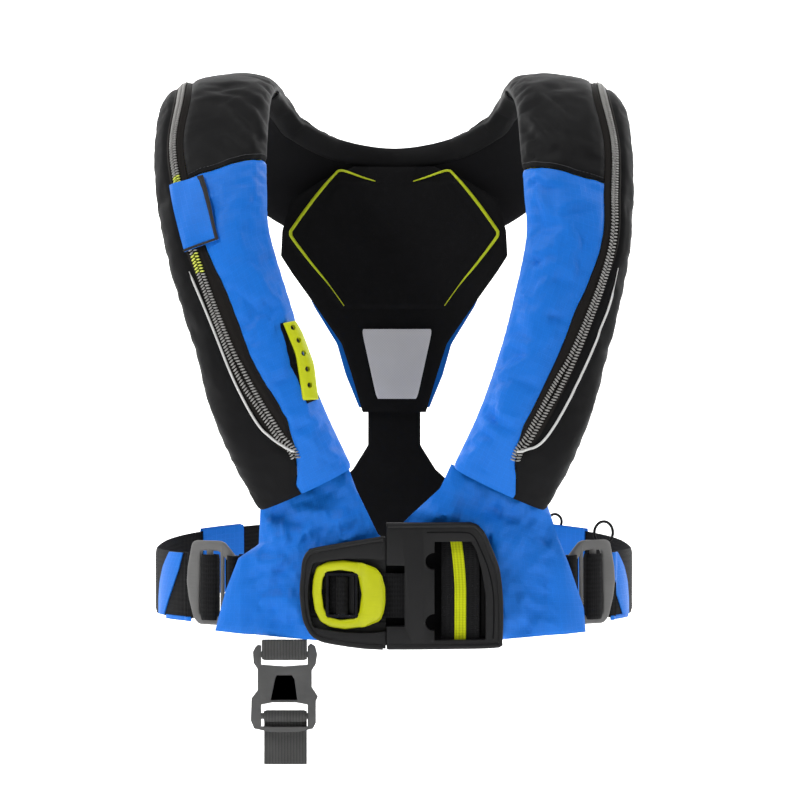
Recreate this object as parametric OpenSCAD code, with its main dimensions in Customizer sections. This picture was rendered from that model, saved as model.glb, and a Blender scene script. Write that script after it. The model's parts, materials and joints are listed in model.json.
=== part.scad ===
// Inflatable life jacket with an integral waist harness.
// Units are millimetres. +Z is up, the wearer faces -Y, and the origin is on the
// wearer's centre line at the height where the casing rests on the shoulders.

/* [Torso] */
// Half-width of the oval that the waist belt follows
torso_half_w = 180; // [178:1:182]
// Half-depth of that oval
torso_half_d = 112; // [111:1:113]

/* [Webbing] */
// Width of the waist belt webbing
belt_w = 50; // [44:1:50]
// Thickness of the waist belt webbing
belt_t = 2.2; // [1.8:0.1:2.2]
// Width of the crotch strap webbing
crotch_w = 33; // [28:1:33]

/* [Casing] */
// Thickness of the casing fabric
cover_t = 1.6; // [1.2:0.1:1.8]
// Half the angle that the zip and its tapes take round the casing's section
zip_half_deg = 11; // [9:1:12]

/* [Inflator] */
// Outer radius of the gas cylinder
cylinder_r = 13; // [11:0.5:13]
// Length of the gas cylinder's body
cylinder_l = 88; // [70:1:90]

/* [Hidden] */
$fn = 48;

BLUE = [0.05, 0.32, 0.82];
BLACK = [0.07, 0.07, 0.08];
LIME = [0.78, 0.84, 0.08];
GREY = [0.50, 0.50, 0.50];
SILVER = [0.72, 0.72, 0.74];

// ---- The waist oval: four tangent arcs, so every parallel offset stays exact ----
oval_y = -8;
side_r = 78;
side_x = torso_half_w - side_r;
arc_r = (side_x * side_x + torso_half_d * torso_half_d - side_r * side_r) / (2 * (torso_half_d - side_r));
arc_y = arc_r - torso_half_d;
front_cy = oval_y + arc_y;
back_cy = oval_y - arc_y;
join_deg = atan2(side_x, arc_y);
belt_z = -366;
belt_in = 2.8;
belt_out = belt_in + belt_t;
back_rise = 8;
gap = 0.3;

// ---- The horseshoe casing: stations from the left end, round the neck, to the right end ----
// Each row is [x, y, z, outward normal x, y, z, half-width, front height, back height,
// zip angle, height of the folded bladder in front of the mid-plane].
left_rows = [
    [ -64, -127, -291, -0.20, -1.0, 0.00, 38.0, 15,  9,  80, -4],
    [ -82, -134, -255, -0.28, -1.0, 0.00, 39.5, 24, 15,  81, -7],
    [ -96, -136, -219, -0.33, -1.0, 0.00, 39.5, 26, 18,  88, -8],
    [-108, -136, -176, -0.38, -1.0, 0.05, 39.5, 26, 18,  96, -8],
    [-126, -130, -118, -0.38, -1.0, 0.12, 40.0, 24, 17, 102, -7],
    [-132, -119,  -80, -0.33, -1.0, 0.30, 42.0, 21, 14, 111,  8],
    [-135, -102,  -45, -0.28, -1.0, 0.70, 43.0, 18, 12, 120, 13],
    [-135,  -72,  -12, -0.22, -0.8, 1.00, 43.0, 16, 11, 118, 12],
    [-133,  -35,    5, -0.15, -0.3, 1.00, 43.0, 15, 10, 125, 11],
    [-130,    5,    9, -0.10,  0.1, 1.00, 43.0, 15, 10, 132, 11],
    [-123,   48,    0, -0.05,  0.6, 1.00, 43.0, 15, 10, 138, 11],
    [-105,   80,  -24,  0.00,  1.0, 0.70, 43.0, 14, 10, 143,  6],
    [ -62,  102,  -51, -0.10,  1.0, 0.30, 43.0, 14, 10, 147,  3]
];
nape_row = [0, 109, -62, 0, 1, 0.12, 43, 14, 10, 148, 3];
// The right side hangs a little further out than the left over the chest.
right_shift = [13, 13, 12, 12, 7, 3, 0, -1, -3, -2, 0, 0, 0];
// Its zip also runs a little further round the section there.
right_zip_turn = [4, 3, 1, 2, 9, 4, 0, -2, 0, 0, 0, 0, 0];
right_rows = [
    for (i = [12 : -1 : 0]) let (r = left_rows[i])
        [-r[0] + right_shift[i], r[1], r[2], -r[3], r[4], r[5], r[6], r[7], r[8],
            r[9] + right_zip_turn[i], r[10]]
];
rows = concat(left_rows, [nape_row], right_rows);
last_row = len(rows) - 1;

// Superellipse exponent of the casing's section
round_e = 0.83;

function spline(a, b, c, d, t) =
    0.5 * (2 * b + (c - a) * t + (2 * a - 5 * b + 4 * c - d) * t * t + (3 * b - a - 3 * c + d) * t * t * t);

// The station row at a fractional index k
function row_at(k) =
    let (
        q = min(max(k, 0), last_row),
        i = min(floor(q), last_row - 1)
    )
    spline(rows[max(i - 1, 0)], rows[i], rows[i + 1], rows[min(i + 2, last_row)], q - i);

function unit(v) = v / norm(v);
function head3(r) = [r[0], r[1], r[2]];

// Outward normal, square to the path, and the direction towards the neck
function tangent_at(k) = unit(head3(row_at(min(k + 0.05, last_row))) - head3(row_at(max(k - 0.05, 0))));
function normal_at(k) =
    let (r = row_at(k), t = tangent_at(k), n = [r[3], r[4], r[5]]) unit(n - t * (n * t));
function inner_at(k) = cross(tangent_at(k), normal_at(k));

function power(v, e) = sign(v) * pow(abs(v), e);

// A point of the casing: station k, angle phi round the section (0 at the neck side,
// 90 at the front, 180 at the outer side), and t outwards from the fabric's face.
function casing(k, phi, t) =
    let (
        r = row_at(k),
        a = (r[6] + t) * power(cos(phi), round_e),
        b = (sin(phi) > 0 ? r[7] + t : r[8] + t) * power(sin(phi), round_e)
    )
    head3(r) + inner_at(k) * a + normal_at(k) * b;

function zip_phi(k) = row_at(k)[9];

// Faces of a closed solid between two grids of (nu + 1) x (nv + 1) points each
function grid_faces(nu, nv) =
    let (
        w = nv + 1,
        m = (nu + 1) * w
    )
    concat(
        [for (i = [0 : nu - 1], j = [0 : nv - 1], s = [0, 1])
            let (a = i * w + j, b = a + w)
            s == 0 ? [a, a + 1, b + 1] : [a, b + 1, b]],
        [for (i = [0 : nu - 1], j = [0 : nv - 1], s = [0, 1])
            let (a = m + i * w + j, b = a + w)
            s == 0 ? [a, b + 1, a + 1] : [a, b, b + 1]],
        [for (i = [0 : nu - 1], s = [0, 1])
            let (a = i * w, b = a + w)
            s == 0 ? [a, b, m + b] : [a, m + b, m + a]],
        [for (i = [0 : nu - 1], s = [0, 1])
            let (a = i * w + nv, b = a + w)
            s == 0 ? [a, m + b, b] : [a, m + a, m + b]],
        [for (j = [0 : nv - 1], s = [0, 1])
            let (a = j, b = j + 1)
            s == 0 ? [a, m + b, b] : [a, m + a, m + b]],
        [for (j = [0 : nv - 1], s = [0, 1])
            let (a = nu * w + j, b = a + 1)
            s == 0 ? [a, b, m + b] : [a, m + b, m + a]]
    );

// A piece of fabric on the casing. phi runs from lo to hi, each a plain angle or an
// angle from the zip when its flag is set.
// skew0 and skew1 slant the two ends, so that a seam can run across at an angle.
module casing_patch(k0, k1, lo, lo_zip, hi, hi_zip, t_in, t_out, nu, nv, skew0 = 0, skew1 = 0) {
    function edge(k, v, from_zip) = from_zip ? zip_phi(k) + v : v;
    function layer(t) = [
        for (i = [0 : nu], j = [0 : nv])
            let (
                ka = k0 + skew0 * j / nv,
                kb = k1 + skew1 * j / nv,
                k = ka + (kb - ka) * i / nu,
                p0 = edge(k, lo, lo_zip),
                p1 = edge(k, hi, hi_zip)
            )
            casing(k, p0 + (p1 - p0) * j / nv, t)
    ];
    polyhedron(concat(layer(t_out), layer(t_in)), grid_faces(nu, nv), convexity = 6);
}

// A closed tube inside the casing: the folded bladder, clear of the fabric by clear_t
module bladder_tube(k0, k1, clear_t, nu, nv) {
    pts = [
        for (i = [0 : nu], j = [0 : nv - 1])
            let (
                k = k0 + (k1 - k0) * i / nu,
                phi = 360 * j / nv,
                r = row_at(k),
                a = (r[6] - clear_t) * power(cos(phi), round_e),
                h = sin(phi) > 0 ? r[10] - 1 : r[8] - clear_t,
                b = h * power(sin(phi), round_e)
            )
            head3(r) + inner_at(k) * a + normal_at(k) * b
    ];
    walls = [
        for (i = [0 : nu - 1], j = [0 : nv - 1], s = [0, 1])
            let (
                a = i * nv + j,
                b = i * nv + (j + 1) % nv,
                c = a + nv,
                d = b + nv
            )
            s == 0 ? [a, b, d] : [a, d, c]
    ];
    // Each end is a strip of triangles between the front and the back of the section
    function end_cap(base, flip) = [
        for (j = [0 : nv / 2 - 1], s = [0, 1])
            let (
                a = base + j,
                b = base + j + 1,
                c = base + (nv - j) % nv,
                d = base + nv - j - 1,
                f = s == 0 ? [a, c, b] : [b, c, d]
            )
            if (len([for (p = f, q = f) if (p == q) 1]) == 3)
                flip ? [f[0], f[2], f[1]] : f
    ];
    polyhedron(pts, concat(walls, end_cap(0, false), end_cap(nu * nv, true)), convexity = 6);
}

// ---- Casing fabric ----
left_seam_k = 5.6;
right_seam_k = 5.5;
seam_slant = 0.35;
collar_k = 10.4;
seam_gap = 0.006;
zip_end_k = 0.85;

// The chest fabric, and the small piece that closes the zip's lower end
module front_panel(k0, k1, slant, side) {
    color(BLUE) {
        casing_patch(k0, k1, 0.4, false, -zip_half_deg - 0.4, true, -cover_t, 0, 14, 8, 0, slant);
        casing_patch(k0, k0 + side * (zip_end_k - 2 * seam_gap),
            -zip_half_deg, true, zip_half_deg, true, -cover_t, 0, 3, 3);
    }
}
module left_front_panel() { front_panel(0, left_seam_k - seam_gap, -seam_slant, 1); }
module right_front_panel() {
    front_panel(last_row, last_row - right_seam_k + seam_gap, seam_slant, -1);
}

module shoulder_panel(k0, k1, slant) {
    color(BLACK)
        casing_patch(k0, k1, 0.4, false, -zip_half_deg - 0.4, true, -cover_t, 0, 10, 8, slant, 0);
}
module left_shoulder_panel() {
    shoulder_panel(left_seam_k + seam_gap, collar_k - seam_gap, -seam_slant);
}
module right_shoulder_panel() {
    shoulder_panel(last_row - right_seam_k - seam_gap, last_row - collar_k + seam_gap, seam_slant);
}

module side_panel(k0, k1) {
    color(BLACK) casing_patch(k0, k1, zip_half_deg + 0.4, true, 179.6, false, -cover_t, 0, 20, 4);
}
module left_side_panel() { side_panel(0, collar_k - seam_gap); }
module right_side_panel() { side_panel(last_row, last_row - collar_k + seam_gap); }

collar_edge = 1.1;
module collar_cover() {
    color(BLACK) {
        casing_patch(collar_k + seam_gap, last_row - collar_k - seam_gap,
            collar_edge, false, -zip_half_deg - 0.4, true, -cover_t, 0, 20, 8);
        casing_patch(collar_k + seam_gap, last_row - collar_k - seam_gap,
            zip_half_deg + 0.4, true, 180 - collar_edge, false, -cover_t, 0, 20, 3);
    }
}

module cover_lining() {
    color(BLACK) casing_patch(0, last_row, 180.4, false, 359.6, false, -cover_t, 0, 52, 8);
}

// Soft band along the neck opening, on the wearer's side of the collar
module neck_band() {
    color(BLACK) casing_patch(8.5, last_row - 8.5, 306, false, 350, false, 0.6, 1.7, 18, 6);
}

// ---- Zip ----
tape_gap = 0.9;
module zip_tape() {
    color(BLACK) {
        casing_patch(zip_end_k, last_row - zip_end_k, tape_gap - zip_half_deg, true, -2.8, true, -1.4, -0.4, 72, 1);
        casing_patch(zip_end_k, last_row - zip_end_k, 2.8, true, zip_half_deg - tape_gap, true, -1.4, -0.4, 72, 1);
    }
}
module zip_chain() {
    color(GREY) casing_patch(zip_end_k, last_row - zip_end_k, -2.4, true, 2.4, true, -1.6, 1.4, 72, 1);
}

slider_k = 0.55;
slider_phi = 84;
module zip_slider() {
    t = tangent_at(slider_k);
    color(SILVER)
        translate(casing(slider_k, slider_phi, -8.5))
            rotate([0, -26, 0]) {
                difference() {
                    translate([-4, -2, -6]) cube([8, 4, 12]);
                    translate([-5, -0.8, -7]) cube([3, 1.6, 14]);
                    translate([2, -0.8, -7]) cube([3, 1.6, 14]);
                }
            }
}

// Fabric tab over the weak part of the zip, hinged along its outer edge
flap_k0 = 4.0;
flap_k1 = 5.2;
module zip_burst_flap() {
    color(BLUE) casing_patch(flap_k0, flap_k1, -23, true, 9, true, 2.4, 3.6, 8, 6);
}

// ---- What the casing holds ----
bladder_clear = 3.4;
module left_bladder() { color(LIME) bladder_tube(0.3, 9.9, bladder_clear, 18, 20); }
module collar_bladder() { color(LIME) bladder_tube(10, last_row - 10, bladder_clear, 12, 20); }
module right_bladder() { color(LIME) bladder_tube(last_row - 9.9, last_row - 0.3, bladder_clear, 18, 20); }

module spray_hood() {
    color(SILVER) casing_patch(11.7, last_row - 11.7, 38, false, 128, false, -8.6, -3.2, 8, 5);
}

// ---- Back yoke ----
pad_in = -16;
pad_out = -8;

// The sector between two radii of the oval's back arc, cut to an outline seen from the front
module back_shell(t_in, t_out, outline) {
    intersection() {
        translate([0, back_cy, -420])
            difference() {
                cylinder(r = arc_r + t_out, h = 480, $fn = 180);
                translate([0, 0, -1]) cylinder(r = arc_r + t_in, h = 482, $fn = 180);
            }
        translate([0, 160, 0]) rotate([90, 0, 0]) linear_extrude(140) polygon(outline);
    }
}

function mirror_outline(half) =
    concat(half, [for (i = [len(half) - 1 : -1 : 0]) [-half[i][0], half[i][1]]]);

pad_half = [
    [30, -36], [44, -46.5], [60, -47], [84, -64], [91, -90], [92, -110], [83, -124],
    [63, -152], [43, -181], [35, -206], [26, -237]
];
module back_pad() { color(BLACK) back_shell(pad_in, pad_out, mirror_outline(pad_half)); }

cover_half = [[60, -114], [78, -122], [66, -150], [47, -181], [40, -206], [29, -233]];
module back_cover() { color(BLUE) back_shell(-7.6, -5, mirror_outline(cover_half)); }

reflector_half = [[27.5, -169], [29.5, -171], [19, -223], [15, -226]];
module back_reflector() {
    color(SILVER) back_shell(pad_in - 0.9, pad_in - 0.05, mirror_outline(reflector_half));
}

piping_line = [
    [16, -48], [34, -42], [43, -39.5], [49, -43], [66, -64], [83, -87],
    [84, -92], [82, -97], [68, -115], [41, -150]
];
piping_half_w = 1;
module pad_piping() {
    n = len(piping_line);
    // Half-width dwindles to nothing at both ends of the line
    function half_w(i) = piping_half_w * (0.35 + 0.65 * sin(180 * i / (n - 1)));
    function side(i) =
        let (d = unit(piping_line[min(i + 1, n - 1)] - piping_line[max(i - 1, 0)])) [-d[1], d[0]];
    band = concat(
        [for (i = [0 : n - 1]) piping_line[i] + side(i) * half_w(i)],
        [for (i = [n - 1 : -1 : 0]) piping_line[i] - side(i) * half_w(i)]
    );
    color(LIME) {
        back_shell(pad_in - 1.2, pad_in - 0.05, band);
        mirror([1, 0, 0]) back_shell(pad_in - 1.2, pad_in - 0.05, band);
    }
}

// The narrow strap from the yoke down to the belt, flared where it meets the belt
strap_half = [[21.5, -238], [21.5, -264], [34, -284], [52, -300], [56, -322]];
module back_strap() {
    color(BLACK)
        intersection() {
            translate([0, 93, -238]) rotate([6, 0, 0]) translate([-60, -2.5, -90]) cube([120, 5, 90.5]);
            translate([0, 160, 0]) rotate([90, 0, 0]) linear_extrude(140) polygon(mirror_outline(strap_half));
        }
}

// ---- Belt ----
// A vertical band on one arc: centre, radius, half-height and the angles it spans
module arc_band(centre, r_in, r_out, z_low, z_high, from_deg, to_deg) {
    translate([centre[0], centre[1], 0])
        rotate([0, 0, from_deg])
            rotate_extrude(angle = to_deg - from_deg, $fn = 180)
                translate([r_in, z_low]) square([r_out - r_in, z_high - z_low]);
}

// Places its children on the front arc: x along the belt, -y outwards, z up
module on_front(deg, t) {
    translate([0, front_cy, 0]) rotate([0, 0, deg]) translate([0, -(arc_r + t), 0]) children();
}

left_adjuster_deg = 31.2;
right_adjuster_deg = 34.5;
adjuster_half_l = 26;
adjuster_t = 8.3;
pin_r = 2.3;
loop_r = pin_r + gap;
pivot_x = 17;
end_turn = asin((adjuster_half_l + 1.5) / arc_r);
pivot_turn = asin(pivot_x / (arc_r + adjuster_t));

// An angle on the front arc, carried past the join onto the tighter side arc
function side_angle(deg) = join_deg + (deg - join_deg) * (arc_r + belt_in) / (side_r + belt_in);

// A point on the oval whose outward normal points at angle a, t outside the torso.
// Behind the widest point the belt climbs, leaning by back_rise degrees.
function oval_point(a, t, z) =
    let (
        c = a > 90 + join_deg ? [-side_x, oval_y] : a > 90 - join_deg ? [0, back_cy] : [side_x, oval_y],
        r = (abs(a - 90) < join_deg ? arc_r : side_r) + t,
        x = c[0] + r * cos(a),
        y = c[1] + r * sin(a) - oval_y,
        u = min(max((y + 20) / 50, 0), 1),
        lean = back_rise * u * u * (3 - 2 * u)
    )
    [x, oval_y + y * cos(lean) - z * sin(lean), belt_z + y * sin(lean) + z * cos(lean)];

// A strap round the oval between two normal angles, t_in to t_out, half_h either side
module oval_strap(from_deg, to_deg, t_in, t_out, half_h, steps) {
    function layer(t) = [
        for (i = [0 : steps], z = [half_h, -half_h])
            oval_point(from_deg + (to_deg - from_deg) * i / steps, t, z)
    ];
    polyhedron(concat(layer(t_out), layer(t_in)), grid_faces(steps, 1), convexity = 6);
}

module belt_webbing() {
    color(BLACK)
        oval_strap(side_angle(right_adjuster_deg + end_turn) - 90, 270 - side_angle(left_adjuster_deg + end_turn),
            belt_in, belt_out, belt_w / 2, 72);
}

// Webbing from the adjuster's pin to the buckle, with its sewn loop round the pin
module front_belt(deg) {
    color(BLACK)
        union() {
            arc_band([0, front_cy], arc_r + belt_in, arc_r + belt_out,
                belt_z - belt_w / 2, belt_z + belt_w / 2, 270 - deg + pivot_turn + 0.5, 268);
            on_front(-deg, adjuster_t)
                translate([pivot_x, 0, belt_z])
                    difference() {
                        cylinder(r = loop_r + belt_t, h = belt_w - 2, center = true);
                        cylinder(r = loop_r, h = belt_w + 2, center = true);
                    }
            on_front(-deg, adjuster_t)
                translate([pivot_x, loop_r, belt_z - belt_w / 2 + 1]) cube([4.5, belt_t, belt_w - 2]);
        }
}
module left_front_belt() { front_belt(left_adjuster_deg); }
module right_front_belt() { mirror([1, 0, 0]) front_belt(right_adjuster_deg); }

sleeve_deg = [112, 132];
module belt_sleeve() {
    oval_strap(sleeve_deg[0], sleeve_deg[1], belt_out + 0.3, belt_out + 1.6, belt_w / 2 + 2, 16);
    oval_strap(sleeve_deg[0], sleeve_deg[1], belt_in - 1.6, belt_in - 0.3, belt_w / 2 + 2, 16);
}
module belt_sleeves() {
    color(BLUE) {
        belt_sleeve();
        mirror([1, 0, 0]) belt_sleeve();
    }
}

module belt_tab() { oval_strap(188, 212, belt_out + 0.05, belt_out + 1.3, belt_w / 2, 8); }
module belt_tabs() {
    color(BLUE) {
        belt_tab();
        mirror([1, 0, 0]) belt_tab();
    }
}

// ---- Ladder-lock adjusters ----
adjuster_half_h = belt_w / 2 + 8;
adjuster_half_t = 3;
centre_bar_x = -4.3;
centre_bar_half = 6;

module adjuster_frame(deg) {
    on_front(-deg, adjuster_t)
        translate([0, 0, belt_z])
            union() {
                difference() {
                    // The outer edge bows and the corners are well rounded
                    intersection() {
                        translate([-adjuster_half_l, -adjuster_half_t, -adjuster_half_h])
                            cube([adjuster_half_l + pivot_x + 2.6, 2 * adjuster_half_t, 2 * adjuster_half_h]);
                        rotate([90, 0, 0])
                            translate([48, 0, 0]) cylinder(r = 74, h = 30, center = true, $fn = 120);
                        rotate([90, 0, 0])
                            translate([0, 0, 0]) cylinder(r = 38.5, h = 30, center = true, $fn = 120);
                    }
                    translate([-15, -10, -belt_w / 2 - 1]) cube([60, 20, belt_w + 2]);
                }
                // Pin that the front belt's loop turns on
                translate([pivot_x, 0, 0]) cylinder(r = pin_r, h = belt_w + 6, center = true);
                // Centre bar, round edged, that the back belt passes over
                for (dx = [-centre_bar_half + 2, centre_bar_half - 2])
                    translate([centre_bar_x + dx, 0, 0]) cylinder(r = 2, h = belt_w + 6, center = true);
                translate([centre_bar_x - centre_bar_half + 2, -2, -belt_w / 2 - 3])
                    cube([2 * centre_bar_half - 4, 4, belt_w + 6]);
            }
}
module left_adjuster() { color(GREY) adjuster_frame(left_adjuster_deg); }
module right_adjuster() { color(GREY) mirror([1, 0, 0]) adjuster_frame(right_adjuster_deg); }

// The turn of the back belt over the centre bar, and its run under the outer bar
module adjuster_turn(deg) {
    r_in = 2 + gap;
    r_out = r_in + belt_t;
    x0 = centre_bar_x - centre_bar_half + 2;
    x1 = centre_bar_x + centre_bar_half - 2;
    h = belt_w - 1;
    on_front(-deg, adjuster_t)
        translate([0, 0, belt_z - h / 2])
            union() {
                difference() {
                    union() {
                        translate([x0, 0, 0]) cylinder(r = r_out, h = h);
                        translate([x1, 0, 0]) cylinder(r = r_out, h = h);
                        translate([x0, -r_out, 0]) cube([x1 - x0, 2 * r_out, h]);
                    }
                    translate([x0, 0, -1]) cylinder(r = r_in, h = h + 2);
                    translate([x1, 0, -1]) cylinder(r = r_in, h = h + 2);
                    translate([x0, -r_in, -1]) cube([x1 - x0, 2 * r_in, h + 2]);
                }
                translate([-adjuster_half_l - 0.8, r_out - belt_t + 1.0, 0])
                    cube([adjuster_half_l + 0.8 + x0, belt_t - 0.2, h]);
            }
}
module left_adjuster_webbing() { color(BLACK) adjuster_turn(left_adjuster_deg); }
module right_adjuster_webbing() { color(BLACK) mirror([1, 0, 0]) adjuster_turn(right_adjuster_deg); }

// ---- Waist panels ----
panel_in = 5.6;
panel_out = 14;

// The sector between two radii of the oval's front arc, cut to an outline seen from the front
module front_shell(t_in, t_out, outline) {
    intersection() {
        translate([0, front_cy, -430])
            difference() {
                cylinder(r = arc_r + t_out, h = 180, $fn = 180);
                translate([0, 0, -1]) cylinder(r = arc_r + t_in, h = 182, $fn = 180);
            }
        translate([0, -60, 0]) rotate([90, 0, 0]) linear_extrude(140) polygon(outline);
    }
}

left_panel = [
    [-98, -310.5], [-99, -340], [-106, -347], [-107, -398], [-93, -400], [-56, -402],
    [-5, -405], [-5, -326], [-11, -325], [-24, -303], [-27, -290], [-31, -277]
];
module left_waist_panel() { color(BLUE) front_shell(panel_in, panel_out, left_panel); }

right_panel = [
    [114, -312], [118, -338], [121, -347], [122, -401], [111, -404], [79, -407], [5, -407],
    [5, -318], [11, -314], [30, -294], [37, -288], [40, -276]
];
module right_waist_panel() {
    color(BLUE)
        difference() {
            front_shell(panel_in, panel_out, right_panel);
            // Hollow behind the tether webbing
            translate([recess_x[0] - 0.5, -200, recess_z[0] - 0.5])
                cube([recess_x[1] - recess_x[0] + 1, 200 - 126.3, recess_z[1] - recess_z[0] + 1]);
        }
}

// ---- Buckle: a lime frame that drops over a hook bar in the left carriage ----
window_x = -37.2;
buckle_z = -368;
buckle_deg = asin(window_x / (arc_r + 20));
frame_in = 18.3;
frame_t = 4;
bar_t = frame_in + frame_t / 2;
buckle_web_t = 2;
hood_x = 26;
hood_half = 18.7;
frame_web_half = 16;
swing_r = 1.8;

module at_buckle() {
    translate([0, front_cy, buckle_z]) rotate([0, 0, buckle_deg]) translate([0, -arc_r, 0]) children();
}

// A box in the buckle's frame, from x0 to x1, t0 to t1 outwards and +-half_z
module buckle_box(x0, x1, t0, t1, half_z) {
    translate([x0, -t1, -half_z]) cube([x1 - x0, t1 - t0, 2 * half_z]);
}

// Rounded outline with four bowed sides: half-width, half-height, bow and corner cut
module bowed(x0, x1, half_h, bow, cut) {
    cx = (x0 + x1) / 2;
    hw = (x1 - x0) / 2;
    n = 6;
    pts = [
        for (s = [0 : 3], i = [0 : n])
            let (
                u = i / n * 2 - 1,
                a = s % 2 == 0 ? hw : half_h,
                b = s % 2 == 0 ? half_h : hw,
                p = [-u * (a - cut), b - bow * u * u],
                q = s == 0 ? p : s == 1 ? [-p[1], p[0]] : s == 2 ? [-p[0], -p[1]] : [p[1], -p[0]]
            )
            [q[0] + cx, q[1]]
    ];
    polygon(pts);
}

module slab(t0, t1) {
    translate([0, -t0, 0]) rotate([90, 0, 0]) linear_extrude(t1 - t0) children();
}

carriage_outline = [
    [-61, -335], [-9, -326], [-5.6, -326], [-5.6, -406], [-24, -404.5], [-48, -401.5],
    [-56, -399], [-61, -394], [-65, -384], [-67, -366], [-66, -348], [-64, -339]
];
carriage_in = 14.3;
carriage_out = 25;
module buckle_carriage() {
    color(BLACK)
        difference() {
            front_shell(carriage_in, carriage_out, carriage_outline);
            at_buckle() {
                slab(17.8, 40) bowed(-24.5, 50, 27, 3.5, 5);
                buckle_box(-24, 5, 15.7, 19, 16.6);
                buckle_box(18, 50, 15.7, 19, hood_half + 0.8);
            }
        }
}

module buckle_frame() {
    color(LIME)
        at_buckle()
            union() {
                difference() {
                    slab(frame_in, frame_in + frame_t) bowed(-21.6, 29, 24.7, 5, 5.6);
                    slab(frame_in - 1, frame_in + frame_t + 1) bowed(-13.9, 13.9, 17.7, 1, 1.3);
                    buckle_box(17.5, 40, frame_in - 1, 25.4, hood_half - 2);
                }
                difference() {
                    buckle_box(15.5, hood_x + 4, frame_in + 1.1, 27.4, hood_half);
                    buckle_box(hood_x + 3, 40, 0, frame_in + 4.5, 30);
                    buckle_box(17.5, 40, frame_in - 1, 25.4, hood_half - 2);
                }
                translate([hood_x, -bar_t, 0]) cylinder(r = swing_r, h = 2 * hood_half - 1, center = true);
            }
}

// Ring of webbing round a bar at x, with a flat tail from x to tail_x
module webbing_ring(x, r_bar, tail_x, half_z) {
    r_in = r_bar + gap;
    r_out = r_in + buckle_web_t;
    union() {
        translate([x, -bar_t, 0])
            difference() {
                cylinder(r = r_out, h = 2 * half_z, center = true);
                cylinder(r = r_in, h = 2 * half_z + 2, center = true);
            }
        buckle_box(min(x, tail_x), max(x, tail_x), bar_t - r_out, bar_t - r_in, half_z);
    }
}

hook_half_x = 12.2;
hook_half_z = 16;
module buckle_hook_bar() {
    color(GREY)
        at_buckle()
            union() {
                for (dx = [-hook_half_x + 1.6, hook_half_x - 1.6])
                    translate([dx, -bar_t, 0]) cylinder(r = 1.6, h = 2 * hook_half_z - 2, center = true);
                translate([0, -bar_t, 0]) cylinder(r = 2, h = 2 * hook_half_z - 2, center = true);
                for (dz = [-1, 1])
                    translate([0, 0, dz * (hook_half_z - 1)])
                        buckle_box(-hook_half_x, hook_half_x, bar_t - 1.6, bar_t + 1.6, 1);
            }
}
module hook_bar_webbing() { color(BLACK) at_buckle() webbing_ring(0, 2, -23.5, 13.6); }
module frame_webbing() { color(BLACK) at_buckle() webbing_ring(hood_x, swing_r, 46, frame_web_half); }

// ---- Tether plate on the right ----
plate_outline = [
    [-5, -315.5], [56, -315.5], [62, -318], [67, -325], [73, -338], [77, -350], [79.4, -373], [78.8, -404],
    [76, -406], [-5, -406], [-5, -390], [8, -390], [8, -346], [-5, -346]
];
plate_out = 27;
recess_x = [29.5, 66.5];
recess_z = [-400, -329];
tether_x = [34.5, 62];
tether_z = (recess_z[0] + recess_z[1]) / 2;
tether_bow = 4;
tether_arc_r = pow((recess_z[1] - recess_z[0]) / 2, 2) / (2 * tether_bow) + tether_bow / 2;
tether_top_t = 24.6;
tether_web_t = 2.2;

module at_tether() {
    translate([0, front_cy - sqrt(pow(arc_r + tether_top_t, 2) - 2400), tether_z]) children();
}
module tether_plate() {
    color(BLACK)
        difference() {
            front_shell(carriage_in, plate_out, plate_outline);
            translate([recess_x[0], -200, recess_z[0]])
                cube([recess_x[1] - recess_x[0], 200 - 126.5, recess_z[1] - recess_z[0]]);
            // Round notches beside the webbing, so that a tether hook gets behind it
            for (z = [-343, -387])
                translate([recess_x[0] - 0.5, -126.5, z]) rotate([90, 0, 0]) cylinder(r = 6, h = 60);
            // Slot that the frame's webbing runs into
            at_buckle() buckle_box(30, 47.5, 15.7, 18.6, frame_web_half + 1);
        }
}

// An arc of webbing in the vertical plane, bowed outwards
module tether_arc(x0, x1, r_in, r_out) {
    half = (recess_z[1] - recess_z[0]) / 2;
    at_tether()
        intersection() {
            translate([x0, tether_arc_r, 0])
                rotate([0, 90, 0])
                    difference() {
                        cylinder(r = r_out, h = x1 - x0, $fn = 180);
                        translate([0, 0, -1]) cylinder(r = r_in, h = x1 - x0 + 2, $fn = 180);
                    }
            translate([0, -10, -half]) cube([100, 30, 2 * half]);
        }
}
module tether_webbing() {
    color(BLACK) tether_arc(tether_x[0], tether_x[1], tether_arc_r - tether_web_t, tether_arc_r);
}
module tether_stripe() {
    mid = (tether_x[0] + tether_x[1]) / 2;
    color(LIME) tether_arc(mid - 4.7, mid + 4.7, tether_arc_r + 0.05, tether_arc_r + 0.8);
}

// ---- Crotch strap ----
crotch_x = -79.8;
crotch_y = -117;
clip_bar_z = -413;
clip_low_z = -458;
clip_bar_r = 2.2;
crotch_t = 1.9;
clip_r_in = clip_bar_r + gap;
clip_r_out = clip_r_in + crotch_t;
clip_half_t = 2.2;

module crotch_loop() {
    color(GREY)
        translate([crotch_x, crotch_y, clip_bar_z])
            rotate([0, 90, 0])
                linear_extrude(crotch_w, center = true)
                    difference() {
                        union() {
                            circle(r = clip_r_out);
                            translate([-10.8, -clip_r_out]) square([10.8, 2 * clip_r_out]);
                        }
                        circle(r = clip_r_in);
                        translate([-8.6, -clip_r_in]) square([8.6, 2 * clip_r_in]);
                    }
}

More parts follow.
